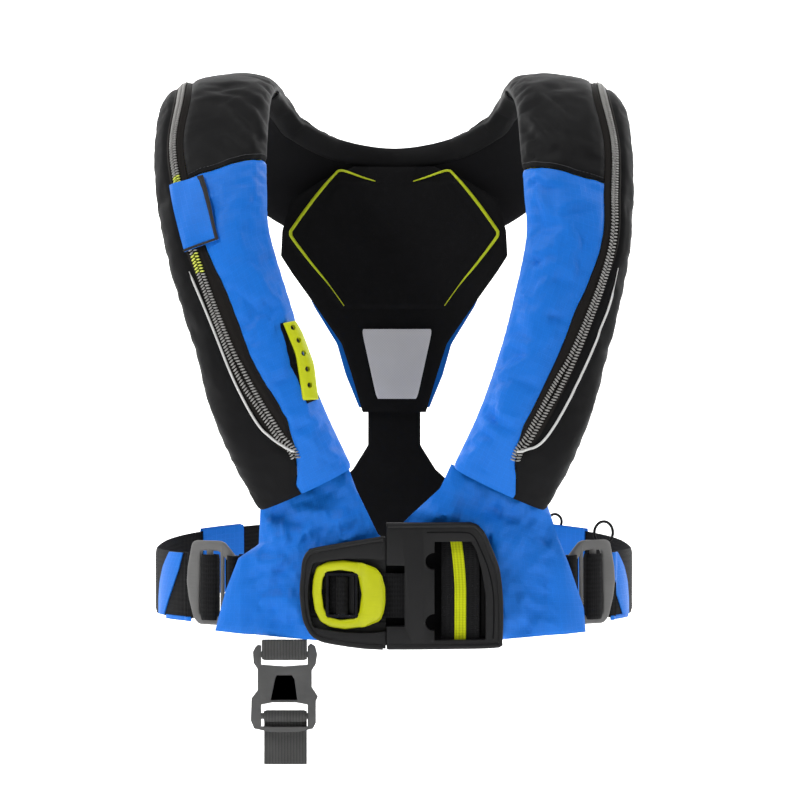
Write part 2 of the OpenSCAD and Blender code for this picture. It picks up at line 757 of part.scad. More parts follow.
// Outline points are measured from the clip's centre line and its top bar
clip_body = [
    [-21.5, 5], [-23, 2], [-22.5, -6], [-19.5, -10.5], [-19.5, -26], [-24, -32], [-24.5, -48],
    [-22, -54], [-10, -56.5], [10, -56.5], [21, -54], [23, -50], [23, -34], [24.5, -31], [22, -27],
    [20, -24], [20, -11.5], [23, -7], [24, 0], [22.5, 6], [19, 8], [17, 6], [17, 3], [-17, 3], [-17, 6.5], [-19.5, 7]
];
clip_slot = [[-17, -2.2], [17, -2.2], [17, -7.6], [0, -8.8], [-17, -7.6]];
clip_window = [[-5.5, -15], [5.5, -15], [7.5, -18], [9.5, -33.4], [-10, -33.4], [-7, -18]];
clip_low_slot = [[-17, -36.5], [-9, -35], [9, -35], [17, -36.5], [17, -52.8], [-17, -52.8]];
module crotch_clip() {
    color(GREY)
        translate([crotch_x, crotch_y, clip_bar_z])
            union() {
                difference() {
                    translate([0, clip_half_t, 0])
                        rotate([90, 0, 0]) linear_extrude(2 * clip_half_t)
                            difference() {
                                polygon(clip_body);
                                polygon(clip_slot);
                                polygon(clip_window);
                                polygon(clip_low_slot);
                                translate([-17, -2.3]) square([34, 6]);
                            }
                }
                rotate([0, 90, 0]) cylinder(r = clip_bar_r, h = 36, center = true);
                translate([0, 0, clip_low_z - clip_bar_z])
                    rotate([0, 90, 0]) cylinder(r = clip_bar_r, h = 36, center = true);
            }
}

strap_end_z = -494;
module crotch_strap() {
    strap_w = crotch_w - 1.4;
    color(GREY)
        translate([crotch_x + 0.6, crotch_y, clip_low_z])
            union() {
                rotate([0, 90, 0])
                    difference() {
                        cylinder(r = clip_r_out, h = strap_w, center = true);
                        cylinder(r = clip_r_in, h = strap_w + 2, center = true);
                    }
                translate([-strap_w / 2, clip_r_in, strap_end_z - clip_low_z])
                    cube([strap_w, crotch_t, clip_low_z - strap_end_z]);
            }
}

// ---- Inflator: manual handle, lever, pin, gas cylinder and automatic capsule ----
inflator_at = [-98.5, -142.6, -219];
inflator_lean = -2.4;
module at_inflator() {
    translate(inflator_at) rotate([inflator_lean, -16, 0]) rotate([0, 0, -18]) children();
}

module pull_handle() {
    color(LIME) casing_patch(1.42, 2.93, 3, false, 29, false, 1, 3.8, 8, 3);
}
module pull_lanyard() {
    color(LIME) at_inflator() translate([15.6, 0, -26]) rotate([0, 90, 0]) cylinder(r = 1, h = 9);
}

body_r = 10.5;
body_l = 32;
neck_r = 5;
pin_bore_r = 2.05;
lever_z = -26;
module inflator_body() {
    color(BLACK)
        at_inflator()
            difference() {
                union() {
                    translate([0, 0, -body_l]) cylinder(r = body_r, h = body_l);
                    translate([-17, 0, -16]) rotate([0, 90, 0]) cylinder(r = 7.5, h = 17);
                }
                translate([0, 0, -9]) cylinder(r = neck_r + 0.05, h = 10);
                translate([0, 0, -body_l - 1]) cylinder(r = pin_bore_r + 0.05, h = body_l + 2);
                // Slot for the lever, open to the neck side and below
                translate([-8, -2.2, -body_l - 1]) cube([24, 4.4, 12.5]);
                translate([6, 0, lever_z]) rotate([90, 0, 0]) cylinder(r = 1.55, h = 30, center = true);
                // Seat of the automatic capsule's piston
                translate([-18, 0, -16]) rotate([0, 90, 0]) cylinder(r = 5.05, h = 9);
            }
}

module firing_lever() {
    color(LIME)
        at_inflator()
            translate([6, 0, lever_z])
                union() {
                    rotate([90, 0, 0]) cylinder(r = 1.5, h = 18, center = true);
                    rotate([90, 0, 0]) cylinder(r = 3.2, h = 3.6, center = true);
                    translate([0, -1.8, -2]) cube([8.5, 3.6, 4]);
                }
}

module piercing_pin() {
    color(SILVER) at_inflator() translate([0, 0, -20.4]) cylinder(r = pin_bore_r, h = 9);
}

module gas_cylinder() {
    color(SILVER)
        at_inflator()
            rotate_extrude($fn = 96)
                polygon(concat(
                    [[0, -8.6], [neck_r, -8.6], [neck_r, 2]],
                    [for (a = [-80 : 10 : 0]) [cylinder_r - 6 + 6 * cos(a), 9 + 6 * sin(a)]],
                    [for (a = [0 : 10 : 90])
                        [(cylinder_r - 0.01) * cos(a), cylinder_l - cylinder_r + 9 + cylinder_r * sin(a)]]
                ));
}

capsule_r = 7.5;
module capsule_cap() {
    color(LIME)
        at_inflator()
            translate([-17.1, 0, -16])
                rotate([0, -90, 0])
                    difference() {
                        cylinder(r = capsule_r, h = 8.5);
                        translate([0, 0, -1]) cylinder(r = capsule_r - 1.5, h = 8);
                    }
}
module capsule_piston() {
    color(BLACK)
        at_inflator()
            translate([-17.3, 0, -16]) rotate([0, 90, 0]) cylinder(r = 5, h = 4);
}
module capsule_spring() {
    // Turns of a 0.9 mm wire behind the piston
    turns = 3;
    steps = 14;
    coil_r = 3.6;
    wire_r = 0.45;
    sides = 6;
    pitch = 1.6;
    ring = [
        for (i = [0 : turns * steps], s = [0 : sides - 1])
            let (
                a = 360 * i / steps,
                w = 360 * s / sides,
                r = coil_r + wire_r * cos(w)
            )
            [r * cos(a), r * sin(a), pitch * i / steps + wire_r * sin(w)]
    ];
    n = turns * steps;
    faces = concat(
        [for (i = [0 : n - 1], s = [0 : sides - 1])
            [i * sides + s, i * sides + (s + 1) % sides, (i + 1) * sides + (s + 1) % sides, (i + 1) * sides + s]],
        [[for (s = [sides - 1 : -1 : 0]) s]],
        [[for (s = [0 : sides - 1]) n * sides + s]]
    );
    color(SILVER)
        at_inflator()
            translate([-18.2, 0, -16]) rotate([0, -90, 0]) polyhedron(ring, faces, convexity = 8);
}

// ---- Right lobe: oral inflation tube, whistle and light ----
module at_oral() {
    translate([109, inflator_at[1], inflator_at[2]])
        rotate([inflator_lean, 16, 0]) rotate([0, 0, 18]) children();
}
oral_r = 6;
valve_z = 36;
module oral_tube() {
    color(BLACK)
        at_oral()
            difference() {
                union() {
                    translate([0, 0, -10]) cylinder(r = oral_r, h = valve_z + 10);
                    translate([0, 0, valve_z]) cylinder(r = 8, h = 12);
                }
                translate([0, 0, -11]) cylinder(r = oral_r - 1.5, h = valve_z + 8);
                translate([0, 0, valve_z - 4]) cylinder(r = 2.55, h = 20);
                translate([0, 0, valve_z + 5]) cylinder(r = 6, h = 10);
            }
}
module oral_plunger() {
    color(SILVER)
        at_oral()
            union() {
                translate([0, 0, valve_z - 2]) cylinder(r = 2.5, h = 12);
                translate([0, 0, valve_z + 9]) cylinder(r = 5, h = 2);
            }
}
module oral_cap() {
    color(LIME)
        at_oral()
            translate([0, 0, valve_z + 2])
                difference() {
                    cylinder(r = 9.6, h = 13);
                    translate([0, 0, -1]) cylinder(r = 8.05, h = 12);
                }
}
module whistle() {
    color(LIME)
        at_oral()
            translate([0, 0, -32])
                union() {
                    translate([-8, -4, -8]) cube([16, 8, 14]);
                    translate([-3, 0, 6]) cylinder(r = 3, h = 8);
                    translate([0, 4, -8]) rotate([90, 0, 0]) cylinder(r = 8, h = 8);
                }
}
module life_light() {
    color(SILVER)
        translate([129.8, -137.2, -144])
            rotate([-6, 13, 0])
                union() {
                    cylinder(r = 6.5, h = 20);
                    translate([0, 0, 20]) sphere(r = 6.5);
                }
}

// Cord loops for small accessories, on the belt's top edge at the right
module accessory_loops() {
    color(BLACK) {
        translate([158, -66, belt_z + belt_w / 2 + 14])
            rotate([90, 0, 30]) rotate_extrude() translate([8.5, 0]) circle(r = 1.1, $fn = 24);
        translate([131, 78, belt_z + belt_w / 2 + 15])
            rotate([90, 0, -30]) rotate_extrude() translate([6, 0]) circle(r = 1.1, $fn = 24);
    }
}

left_front_panel();
right_front_panel();
left_shoulder_panel();
right_shoulder_panel();
left_side_panel();
right_side_panel();
collar_cover();
cover_lining();
neck_band();
zip_tape();
zip_chain();
zip_slider();
zip_burst_flap();
left_bladder();
collar_bladder();
right_bladder();
spray_hood();
back_pad();
back_cover();
back_reflector();
pad_piping();
back_strap();
left_waist_panel();
right_waist_panel();
belt_webbing();
left_front_belt();
right_front_belt();
belt_sleeves();
belt_tabs();
left_adjuster();
left_adjuster_webbing();
right_adjuster();
right_adjuster_webbing();
buckle_carriage();
buckle_frame();
buckle_hook_bar();
hook_bar_webbing();
frame_webbing();
tether_plate();
tether_webbing();
tether_stripe();
crotch_loop();
crotch_clip();
crotch_strap();
pull_handle();
pull_lanyard();
inflator_body();
firing_lever();
piercing_pin();
gas_cylinder();
capsule_cap();
capsule_piston();
capsule_spring();
oral_tube();
oral_plunger();
oral_cap();
whistle();
life_light();
accessory_loops();
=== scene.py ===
"""Looks of an inflatable life jacket: fabric casing, zip, waist harness, buckle and fittings."""

import json
import logging
import math
from collections.abc import Callable, Sequence
from dataclasses import dataclass, field
from enum import Enum

import bmesh
import bpy
import numpy as np
from mathutils import Matrix, Vector

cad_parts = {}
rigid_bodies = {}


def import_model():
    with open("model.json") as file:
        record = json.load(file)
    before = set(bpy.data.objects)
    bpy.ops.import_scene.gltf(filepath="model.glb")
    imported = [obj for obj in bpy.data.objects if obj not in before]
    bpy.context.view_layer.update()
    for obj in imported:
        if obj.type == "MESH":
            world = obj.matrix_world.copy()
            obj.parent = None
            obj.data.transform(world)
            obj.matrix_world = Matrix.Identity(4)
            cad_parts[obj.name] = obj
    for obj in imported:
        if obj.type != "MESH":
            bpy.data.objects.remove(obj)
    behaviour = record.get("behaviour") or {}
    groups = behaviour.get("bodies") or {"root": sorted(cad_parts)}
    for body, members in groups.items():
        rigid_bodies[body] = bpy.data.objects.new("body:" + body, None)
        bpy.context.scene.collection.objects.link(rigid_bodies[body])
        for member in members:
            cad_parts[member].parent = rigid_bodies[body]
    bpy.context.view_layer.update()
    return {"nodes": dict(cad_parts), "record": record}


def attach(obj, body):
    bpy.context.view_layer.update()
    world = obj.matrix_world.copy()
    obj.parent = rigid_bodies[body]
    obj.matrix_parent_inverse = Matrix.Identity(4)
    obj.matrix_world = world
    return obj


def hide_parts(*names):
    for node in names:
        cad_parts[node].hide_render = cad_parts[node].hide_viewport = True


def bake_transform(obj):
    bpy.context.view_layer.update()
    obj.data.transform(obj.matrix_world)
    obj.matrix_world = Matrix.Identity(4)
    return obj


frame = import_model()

logging.basicConfig(level=logging.INFO, format="%(name)s: %(message)s")
LOG = logging.getLogger("life_jacket")
MM = 0.001
Colour = tuple[float, float, float]
Array = np.ndarray


# ---------------------------------------------------------------- shader building


class Val:
    """A shader value that Python's own operators work on, by adding Math nodes."""

    def __init__(self, book: "NodeBook", socket: bpy.types.NodeSocket) -> None:
        """Keeps the node book and the output socket."""
        self.book = book
        self.socket = socket

    def _op(self, operation: str, *others: "Val | float") -> "Val":
        """Adds one Math node.

        Args:
            operation: the Math node's operation.
            others: the inputs in their order, this value not implied.

        Returns:
            The node's result.
        """
        return self.book.maths(operation, *others)

    def __add__(self, other: "Val | float") -> "Val":
        """Sum."""
        return self._op("ADD", self, other)

    __radd__ = __add__

    def __sub__(self, other: "Val | float") -> "Val":
        """Difference."""
        return self._op("SUBTRACT", self, other)

    def __rsub__(self, other: "Val | float") -> "Val":
        """Difference with this value on the right."""
        return self._op("SUBTRACT", other, self)

    def __mul__(self, other: "Val | float") -> "Val":
        """Product."""
        return self._op("MULTIPLY", self, other)

    __rmul__ = __mul__

    def __truediv__(self, other: "Val | float") -> "Val":
        """Quotient."""
        return self._op("DIVIDE", self, other)

    def __pow__(self, other: "Val | float") -> "Val":
        """Power."""
        return self._op("POWER", self, other)

    def fract(self) -> "Val":
        """The part after the decimal point."""
        return self._op("FRACT", self)

    def abs(self) -> "Val":
        """The size without its sign."""
        return self._op("ABSOLUTE", self)

    def sin(self) -> "Val":
        """Sine of the value in radians."""
        return self._op("SINE", self)

    def step(self, low: float, high: float) -> "Val":
        """A smooth step.

        Args:
            low: where the result is 0.
            high: where the result is 1.

        Returns:
            A value from 0 to 1.
        """
        node = self.book.make(
            "ShaderNodeMapRange", {"interpolation_type": "SMOOTHSTEP"}, {0: self, 1: low, 2: high}
        )
        return Val(self.book, node.outputs[0])


class NodeBook:
    """Writes the nodes of one material."""

    def __init__(self, material: bpy.types.Material) -> None:
        """Clears the material's tree and starts anew."""
        material.use_nodes = True
        self.tree = material.node_tree
        self.tree.nodes.clear()

    def make(
        self, kind: str, settings: dict[str, object] | None = None,
        inputs: dict[int | str, object] | None = None
    ) -> bpy.types.Node:
        """Makes any node.

        Args:
            kind: the node's type.
            settings: its settings, set first; "stops" fills a colour ramp.
            inputs: constants, Vals or sockets for its inputs, by name or index.

        Returns:
            The node.
        """
        node = self.tree.nodes.new(kind)
        for key, value in (settings or {}).items():
            if key == "stops":
                ramp = node.color_ramp
                while len(ramp.elements) < len(value):
                    ramp.elements.new(0.5)
                for element, (place, colour) in zip(ramp.elements, value):
                    element.position = place
                    element.color = (*colour, 1.0)
            else:
                setattr(node, key, value)
        for key, value in (inputs or {}).items():
            socket = node.inputs[key]
            if isinstance(value, Val):
                self.tree.links.new(value.socket, socket)
            elif isinstance(value, bpy.types.NodeSocket):
                self.tree.links.new(value, socket)
            else:
                socket.default_value = value
        return node

    def maths(self, operation: str, *values: "Val | float") -> Val:
        """One Math node.

        Args:
            operation: its operation.
            values: its inputs.

        Returns:
            Its result.
        """
        node = self.make("ShaderNodeMath", {"operation": operation}, dict(enumerate(values)))
        return Val(self, node.outputs[0])

    def place(self, on_uv: bool) -> bpy.types.NodeSocket:
        """The coordinates in metres: the piece's own UV map or Object coordinates.

        Args:
            on_uv: whether to use the UV map.

        Returns:
            The coordinates' socket.
        """
        node = self.make("ShaderNodeTexCoord")
        return node.outputs["UV" if on_uv else "Object"]

    def axes(self, vector: bpy.types.NodeSocket) -> tuple[Val, Val, Val]:
        """Splits a vector into its three values.

        Args:
            vector: the vector's socket.

        Returns:
            Its three values.
        """
        node = self.make("ShaderNodeSeparateXYZ", inputs={0: vector})
        return Val(self, node.outputs[0]), Val(self, node.outputs[1]), Val(self, node.outputs[2])

    def noise(
        self, vector: bpy.types.NodeSocket, scale: float, detail: float = 2.0, rough: float = 0.5
    ) -> Val:
        """Noise.

        Args:
            vector: the coordinates.
            scale: its scale in cells per metre.
            detail: octaves.
            rough: how strong the finer octaves are.

        Returns:
            A value from 0 to 1.
        """
        node = self.make(
            "ShaderNodeTexNoise",
            inputs={"Vector": vector, "Scale": scale, "Detail": detail, "Roughness": rough},
        )
        return Val(self, node.outputs["Fac"])

    def stretched(self, vector: bpy.types.NodeSocket, by: Colour) -> bpy.types.NodeSocket:
        """Scales coordinates along each axis.

        Args:
            vector: the coordinates.
            by: the scale along each axis.

        Returns:
            The scaled coordinates.
        """
        return self.make("ShaderNodeMapping", inputs={"Vector": vector, "Scale": by}).outputs[0]

    def mix(self, factor: Val, low: Colour, high: Colour) -> Val:
        """A colour between two.

        Args:
            factor: 0 gives low and 1 gives high.
            low: first colour.
            high: second colour.

        Returns:
            The mixed colour.
        """
        node = self.make("ShaderNodeMix", {"data_type": "RGBA"}, {0: factor, 6: (*low, 1.0), 7: (*high, 1.0)})
        return Val(self, node.outputs[2])

    def tint(self, factor: Val, colour: Colour, low: float, high: float) -> Val:
        """A colour between two shades of one colour.

        Args:
            factor: 0 gives the first shade and 1 the second.
            colour: the colour.
            low: the first shade's brightness.
            high: the second shade's brightness.

        Returns:
            The mixed colour.
        """
        shades = [tuple(min(1.0, c * by) for c in colour) for by in (low, high)]
        return self.mix(factor, *shades)

    def close(self, shader: dict[str, object], height: Val | None, depth: float) -> None:
        """Ends the material in a Principled shader.

        Args:
            shader: the shader's inputs.
            height: the bump's height from 0 to 1, or None.
            depth: the bump's depth in metres.
        """
        inputs = dict(shader)
        if height is not None:
            bump = self.make("ShaderNodeBump", inputs={"Strength": 1.0, "Distance": depth, "Height": height})
            inputs["Normal"] = bump.outputs[0]
        body = self.make("ShaderNodeBsdfPrincipled", inputs=inputs)
        self.make("ShaderNodeOutputMaterial", inputs={"Surface": body.outputs[0]})


@dataclass(frozen=True)
class Cloth:
    """A woven fabric: threads, an optional ripstop grid and soft tonal variation."""

    colour: Colour
    worn: float = 1.15
    rough: float = 0.62
    thread: float = 0.0007
    grid: float = 0.0
    depth: float = 0.00010
    sheen: float = 0.01
    shine: float = 0.07
    on_uv: bool = True

    def write(self, book: NodeBook) -> None:
        """Writes the finish's nodes.

        Args:
            book: the node book of its material.
        """
        place = book.place(self.on_uv)
        u, v, w = book.axes(place)
        if not self.on_uv:
            u, v = u + w * 0.7, v + w * 0.7
        weave = ((u * (math.pi / self.thread)).sin() * (v * (math.pi / self.thread)).sin()).abs()
        soft = book.noise(place, 28.0, 3.0)
        fine = book.noise(place, 900.0, 1.0)
        tone = soft * 0.6 + fine * 0.4
        height = weave * 0.35 + fine * 0.15
        if self.grid:
            lines = [((c / self.grid).fract() - 0.5).abs().step(0.43, 0.485) for c in (u, v)]
            net = book.maths("MAXIMUM", lines[0], lines[1])
            height = height + net * 0.9
            tone = tone + net * 0.22
        book.close(
            {
                "Base Color": book.tint(tone.step(0.2, 0.95), self.colour, 1.0, self.worn),
                "Roughness": soft * 0.12 + (self.rough - 0.06),
                "Sheen Weight": self.sheen,
                "Sheen Roughness": 0.5,
                "Specular IOR Level": self.shine,
            },
            height,
            self.depth,
        )


class Weave(Enum):
    """How the threads of a webbing lie."""

    RIBBED = "ribbed"
    HERRINGBONE = "herringbone"


@dataclass(frozen=True)
class Webbing:
    """A woven strap with ribs and crossing picks, with painted shade in grooves and highlight on ridges."""

    colour: Colour
    pick: float = 0.0016
    rib: float = 0.0034
    rough: float = 0.68
    weave: Weave = Weave.RIBBED
    on_uv: bool = True
    depth: float = 0.00028

    def write(self, book: NodeBook) -> None:
        """Writes the finish's nodes.

        Args:
            book: the node book of its material.
        """
        place = book.place(self.on_uv)
        u, v, w = book.axes(place)
        if not self.on_uv:
            u, v = u + v, w
        lean = (v * (2.0 / self.rib)).fract().step(0.45, 0.55) if self.weave is Weave.HERRINGBONE else 0.0
        pick = ((u + lean * (self.pick * 0.5)) * (2 * math.pi / self.pick)).sin() * 0.5 + 0.5
        rib = (v * (2 * math.pi / self.rib)).sin() * 0.5 + 0.5
        soft = book.noise(place, 60.0, 3.0)
        fine = book.noise(place, 1500.0, 1.0)
        height = pick * 0.55 + rib * 0.6 + fine * 0.3
        # colour follows the weave's height as well as random cloud: painted shade in the grooves between ribs
        # and picks, painted highlight on their ridges
        tone = height * 0.55 + soft * 0.45
        book.close(
            {
                "Base Color": book.tint(tone.step(0.15, 1.0), self.colour, 0.62, 1.25),
                "Roughness": soft * 0.15 + (self.rough - 0.05),
                "Sheen Weight": 0.01,
                "Specular IOR Level": 0.1,
            },
            height,
            self.depth,
        )


@dataclass(frozen=True)
class Moulded:
    """Moulded plastic or rubber with a fine grain and slight wear."""

    colour: Colour
    rough: float = 0.42
    grain: float = 0.00004
    grain_scale: float = 1600.0
    coat: float = 0.0
    worn: float = 1.12

    def write(self, book: NodeBook) -> None:
        """Writes the finish's nodes.

        Args:
            book: the node book of its material.
        """
        place = book.place(False)
        grain = book.noise(place, self.grain_scale, 2.0, 0.6)
        cloud = book.noise(place, 45.0, 3.0)
        streak = book.noise(book.stretched(place, (1.0, 1.0, 6.0)), 130.0, 2.0)
        tone = cloud * 0.7 + streak * 0.3
        book.close(
            {
                "Base Color": book.tint(tone.step(0.3, 0.75), self.colour, 0.95, self.worn),
                "Specular IOR Level": 0.22,
                "Roughness": cloud * 0.16 + streak * 0.06 + (self.rough - 0.1),
                "Coat Weight": self.coat,
                "Coat Roughness": 0.2,
            },
            grain,
            self.grain,
        )


@dataclass(frozen=True)
class Metal:
    """Plated or polished metal with faint brushing."""

    colour: Colour
    rough: float = 0.28

    def write(self, book: NodeBook) -> None:
        """Writes the finish's nodes.

        Args:
            book: the node book of its material.
        """
        place = book.place(False)
        brushed = book.noise(book.stretched(place, (1.0, 1.0, 14.0)), 420.0, 3.0)
        cloud = book.noise(place, 70.0, 2.0)
        book.close(
            {
                "Base Color": book.tint(cloud.step(0.25, 0.8), self.colour, 0.88, 1.06),
                "Metallic": 1.0,
                "Roughness": brushed * 0.18 + (self.rough - 0.08),
            },
            brushed,
            0.00002,
        )


@dataclass(frozen=True)
class Film:
    """Retro-reflective film: a satin silver sheet with a fine cell pattern."""

    colour: Colour
    cell: float = 0.0022
    on_uv: bool = True

    def write(self, book: NodeBook) -> None:
        """Writes the finish's nodes.

        Args:
            book: the node book of its material.
        """
        place = book.place(self.on_uv)
        u, v, _ = book.axes(place)
        rows, ranks = [((c / self.cell).fract() - 0.5).abs() for c in (u + v, u - v)]
        cells = (rows + ranks).step(0.2, 0.8)
        cloud = book.noise(place, 55.0, 3.0)
        book.close(
            {
                "Base Color": book.tint(cells * 0.5 + cloud * 0.5, self.colour, 0.9, 1.1),
                "Roughness": cloud * 0.12 + 0.33,
                "Metallic": 0.25,
                "Specular IOR Level": 0.6,
            },
            cells,
            0.00003,
        )


@dataclass(frozen=True)
class Clear:
    """Clear plastic, thin and slightly hazy."""

    colour: Colour
    alpha: float = 0.45

    def write(self, book: NodeBook) -> None:
        """Writes the finish's nodes.

        Args:
            book: the node book of its material.
        """
        place = book.place(False)
        cloud = book.noise(place, 90.0, 3.0)
        book.close(
            {
                "Base Color": book.tint(cloud, self.colour, 0.92, 1.0),
                "Roughness": cloud * 0.1 + 0.08,
                "Alpha": cloud * 0.1 + (self.alpha - 0.05),
                "Coat Weight": 0.4,
            },
            cloud,
            0.00008,
        )


Finish = Cloth | Webbing | Moulded | Metal | Film | Clear

BLUE: Colour = (0.0065, 0.138, 0.560)
LIME: Colour = (0.430, 0.500, 0.010)

FINISHES: dict[str, Finish] = {
    "ripstop_blue": Cloth(BLUE, 1.22, grid=0.0042, rough=0.46, shine=0.16),
    "shell_black": Cloth((0.0058, 0.0058, 0.0062), 1.3, rough=0.52),
    "side_black": Cloth((0.0056, 0.0056, 0.0060), 1.25, rough=0.58),
    "lining_black": Cloth((0.0040, 0.0040, 0.0046), 1.3, rough=0.75, thread=0.0011),
    "zip_tape_black": Cloth((0.0100, 0.0088, 0.0080), 1.4, rough=0.66, thread=0.0010),
    "zip_teeth": Moulded((0.30, 0.295, 0.285), 0.34, coat=0.15),
    "slider_metal": Metal((0.55, 0.55, 0.56)),
    "bladder_yellow": Cloth((0.72, 0.58, 0.02), 1.1, rough=0.45),
    "hood_clear": Clear((0.85, 0.87, 0.88)),
    "pad_black": Cloth((0.0046, 0.0046, 0.0050), 1.5, rough=0.78, thread=0.0013, depth=0.0002),
    "reflective_silver": Film((0.55, 0.545, 0.565)),
    "piping_lime": Moulded(LIME, 0.5, coat=0.1),
    "webbing_black": Webbing((0.0062, 0.0062, 0.0068)),
    "webbing_grey": Webbing(
        (0.062, 0.062, 0.061), pick=0.0013, rib=0.0022, weave=Weave.HERRINGBONE, depth=0.0002
    ),
    "adjuster_grey": Moulded((0.130, 0.129, 0.127), 0.45),
    "moulded_black": Moulded((0.0090, 0.0090, 0.0094), 0.5),
    "frame_lime": Moulded((0.46, 0.49, 0.004), 0.36, coat=0.15),
    "hook_steel": Metal((0.016, 0.016, 0.019), 0.28),
    "stripe_lime": Webbing((0.44, 0.49, 0.006), pick=0.0012, rib=0.0023, depth=0.00016),
    "clip_grey": Moulded((0.074, 0.074, 0.073), 0.45),
    "handle_lime": Moulded((0.50, 0.55, 0.004), 0.42, coat=0.1),
    "cord_lime": Webbing((0.62, 0.69, 0.02), pick=0.0009, rib=0.0011, on_uv=False),
    "inflator_black": Moulded((0.022, 0.022, 0.024), 0.4),
    "lever_lime": Moulded((0.60, 0.68, 0.01), 0.4, coat=0.2),
    "pin_steel": Metal((0.7, 0.7, 0.7), 0.2),
    "cylinder_steel": Metal((0.60, 0.60, 0.58), 0.32),
    "capsule_lime": Moulded((0.55, 0.66, 0.02), 0.42, coat=0.2),
    "tube_black": Moulded((0.02, 0.02, 0.021), 0.5),
    "whistle_lime": Moulded((0.62, 0.70, 0.02), 0.38, coat=0.3),
    "light_clear": Clear((0.9, 0.92, 0.93), 0.6),
    "cord_black": Webbing((0.013, 0.013, 0.014), pick=0.0010, rib=0.0013, on_uv=False),
    # dark grey of the burst flap's border: its hem and painted shadow under the flap's edge
    "hem_grey": Webbing((0.030, 0.029, 0.029), pick=0.0010, rib=0.0021),
    "piping_silver": Film((0.58, 0.58, 0.57), 0.0018),
    "teeth_lime": Moulded((0.62, 0.68, 0.10), 0.4, coat=0.2),
    "stitch_dark": Moulded((0.050, 0.050, 0.052), 0.7),
}


class Wardrobe:
    """Makes each material once and hands it out by name."""

    def __init__(self) -> None:
        """Starts with no materials."""
        self.made: dict[str, bpy.types.Material] = {}

    def get(self, name: str) -> bpy.types.Material:
        """The material of a finish.

        Args:
            name: the object's name.

        Returns:
            The material, made on first use.
        """
        if name not in self.made:
            material = bpy.data.materials.new(name)
            FINISHES[name].write(NodeBook(material))
            self.made[name] = material
        return self.made[name]

    def flat_copy(self, name: str) -> bpy.types.Material:
        """The same finish on Object coordinates, for a piece with no UV map.

        Args:
            name: the object's name.

        Returns:
            The material, made on first use.
        """
        key = name + "_solid"
        if key not in self.made:
            finish = FINISHES[name]
            if getattr(finish, "on_uv", False):
                values = {f: getattr(finish, f) for f in finish.__dataclass_fields__}
                values["on_uv"] = False
                finish = type(finish)(**values)
            material = bpy.data.materials.new(key)
            finish.write(NodeBook(material))
            self.made[key] = material
        return self.made[key]


WARDROBE = Wardrobe()


# ---------------------------------------------------------------- mesh building


def unit(v: Array) -> Array:
    """Vectors of length one along the last axis.

    Args:
        v: the vectors.

    Returns:
        Vectors of the same shape.
    """
    return v / np.maximum(np.linalg.norm(v, axis=-1, keepdims=True), 1e-12)


def upright(count: int) -> Array:
    """Upward unit vectors.

    Args:
        count: how many.

    Returns:
        (count, 3) vectors.
    """
    return np.tile([0.0, 0.0, 1.0], (count, 1))


def linked(name: str, data: bpy.types.ID) -> bpy.types.Object:
    """Makes an object and links it to the scene.

    Args:
        name: its name.
        data: its mesh, light or lens.

    Returns:
        The object.
    """
    made = bpy.data.objects.new(name, data)
    bpy.context.scene.collection.objects.link(made)
    return made


def settle(piece: bpy.types.Object) -> bpy.types.Mesh:
    """Applies a piece's modifiers.

    Args:
        piece: the piece.

    Returns:
        Its new mesh.
    """
    final = bpy.data.meshes.new_from_object(piece.evaluated_get(bpy.context.evaluated_depsgraph_get()))
    piece.modifiers.clear()
    piece.data = final
    return final


def new_piece(
    name: str, points: Array, faces: Sequence[Sequence[int]], finish: str, uv: Array | None = None,
    sharp: float = 40.0
) -> bpy.types.Object:
    """Makes a mesh object.

    Args:
        name: the object's name.
        points: vertices in metres.
        faces: vertex indices of each face.
        finish: the finish's name.
        uv: one UV pair per vertex, in metres.
        sharp: edges sharper than this many degrees stay sharp.

    Returns:
        The object, linked to the scene.
    """
    mesh = bpy.data.meshes.new(name)
    mesh.from_pydata([tuple(p) for p in np.asarray(points).tolist()], [], [tuple(f) for f in faces])
    mesh.validate()
    if uv is not None:
        layer = mesh.uv_layers.new(name="UVMap")
        index = np.empty(len(mesh.loops), dtype=np.int64)
        mesh.loops.foreach_get("vertex_index", index)
        layer.data.foreach_set("uv", np.asarray(uv, dtype=np.float32)[index].ravel())
    mesh.materials.append(WARDROBE.get(finish))
    mesh.shade_smooth()
    mesh.set_sharp_from_angle(angle=math.radians(sharp))
    return linked(name, mesh)


def dress(piece: bpy.types.Object, body: str, slot: str, *nodes: str) -> bpy.types.Object:
    """Gives a piece its body and hides the CAD nodes it stands for.

    Args:
        piece: the object.
        body: the body it moves with.
        slot: the record's material slot; not used.
        nodes: CAD nodes that it replaces.

    Returns:
        The same object.
    """
    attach(piece, body)
    if nodes:
        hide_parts(*nodes)
    LOG.info("%s rides on %s, %d faces", piece.name, body, len(piece.data.polygons))
    return piece


def lengths(points: Array) -> Array:
    """Distance run along a line of points, from 0.

    Args:
        points: (n, d) points.

    Returns:
        n distances.
    """
    return np.concatenate([[0.0], np.cumsum(np.linalg.norm(np.diff(points, axis=0), axis=1))])


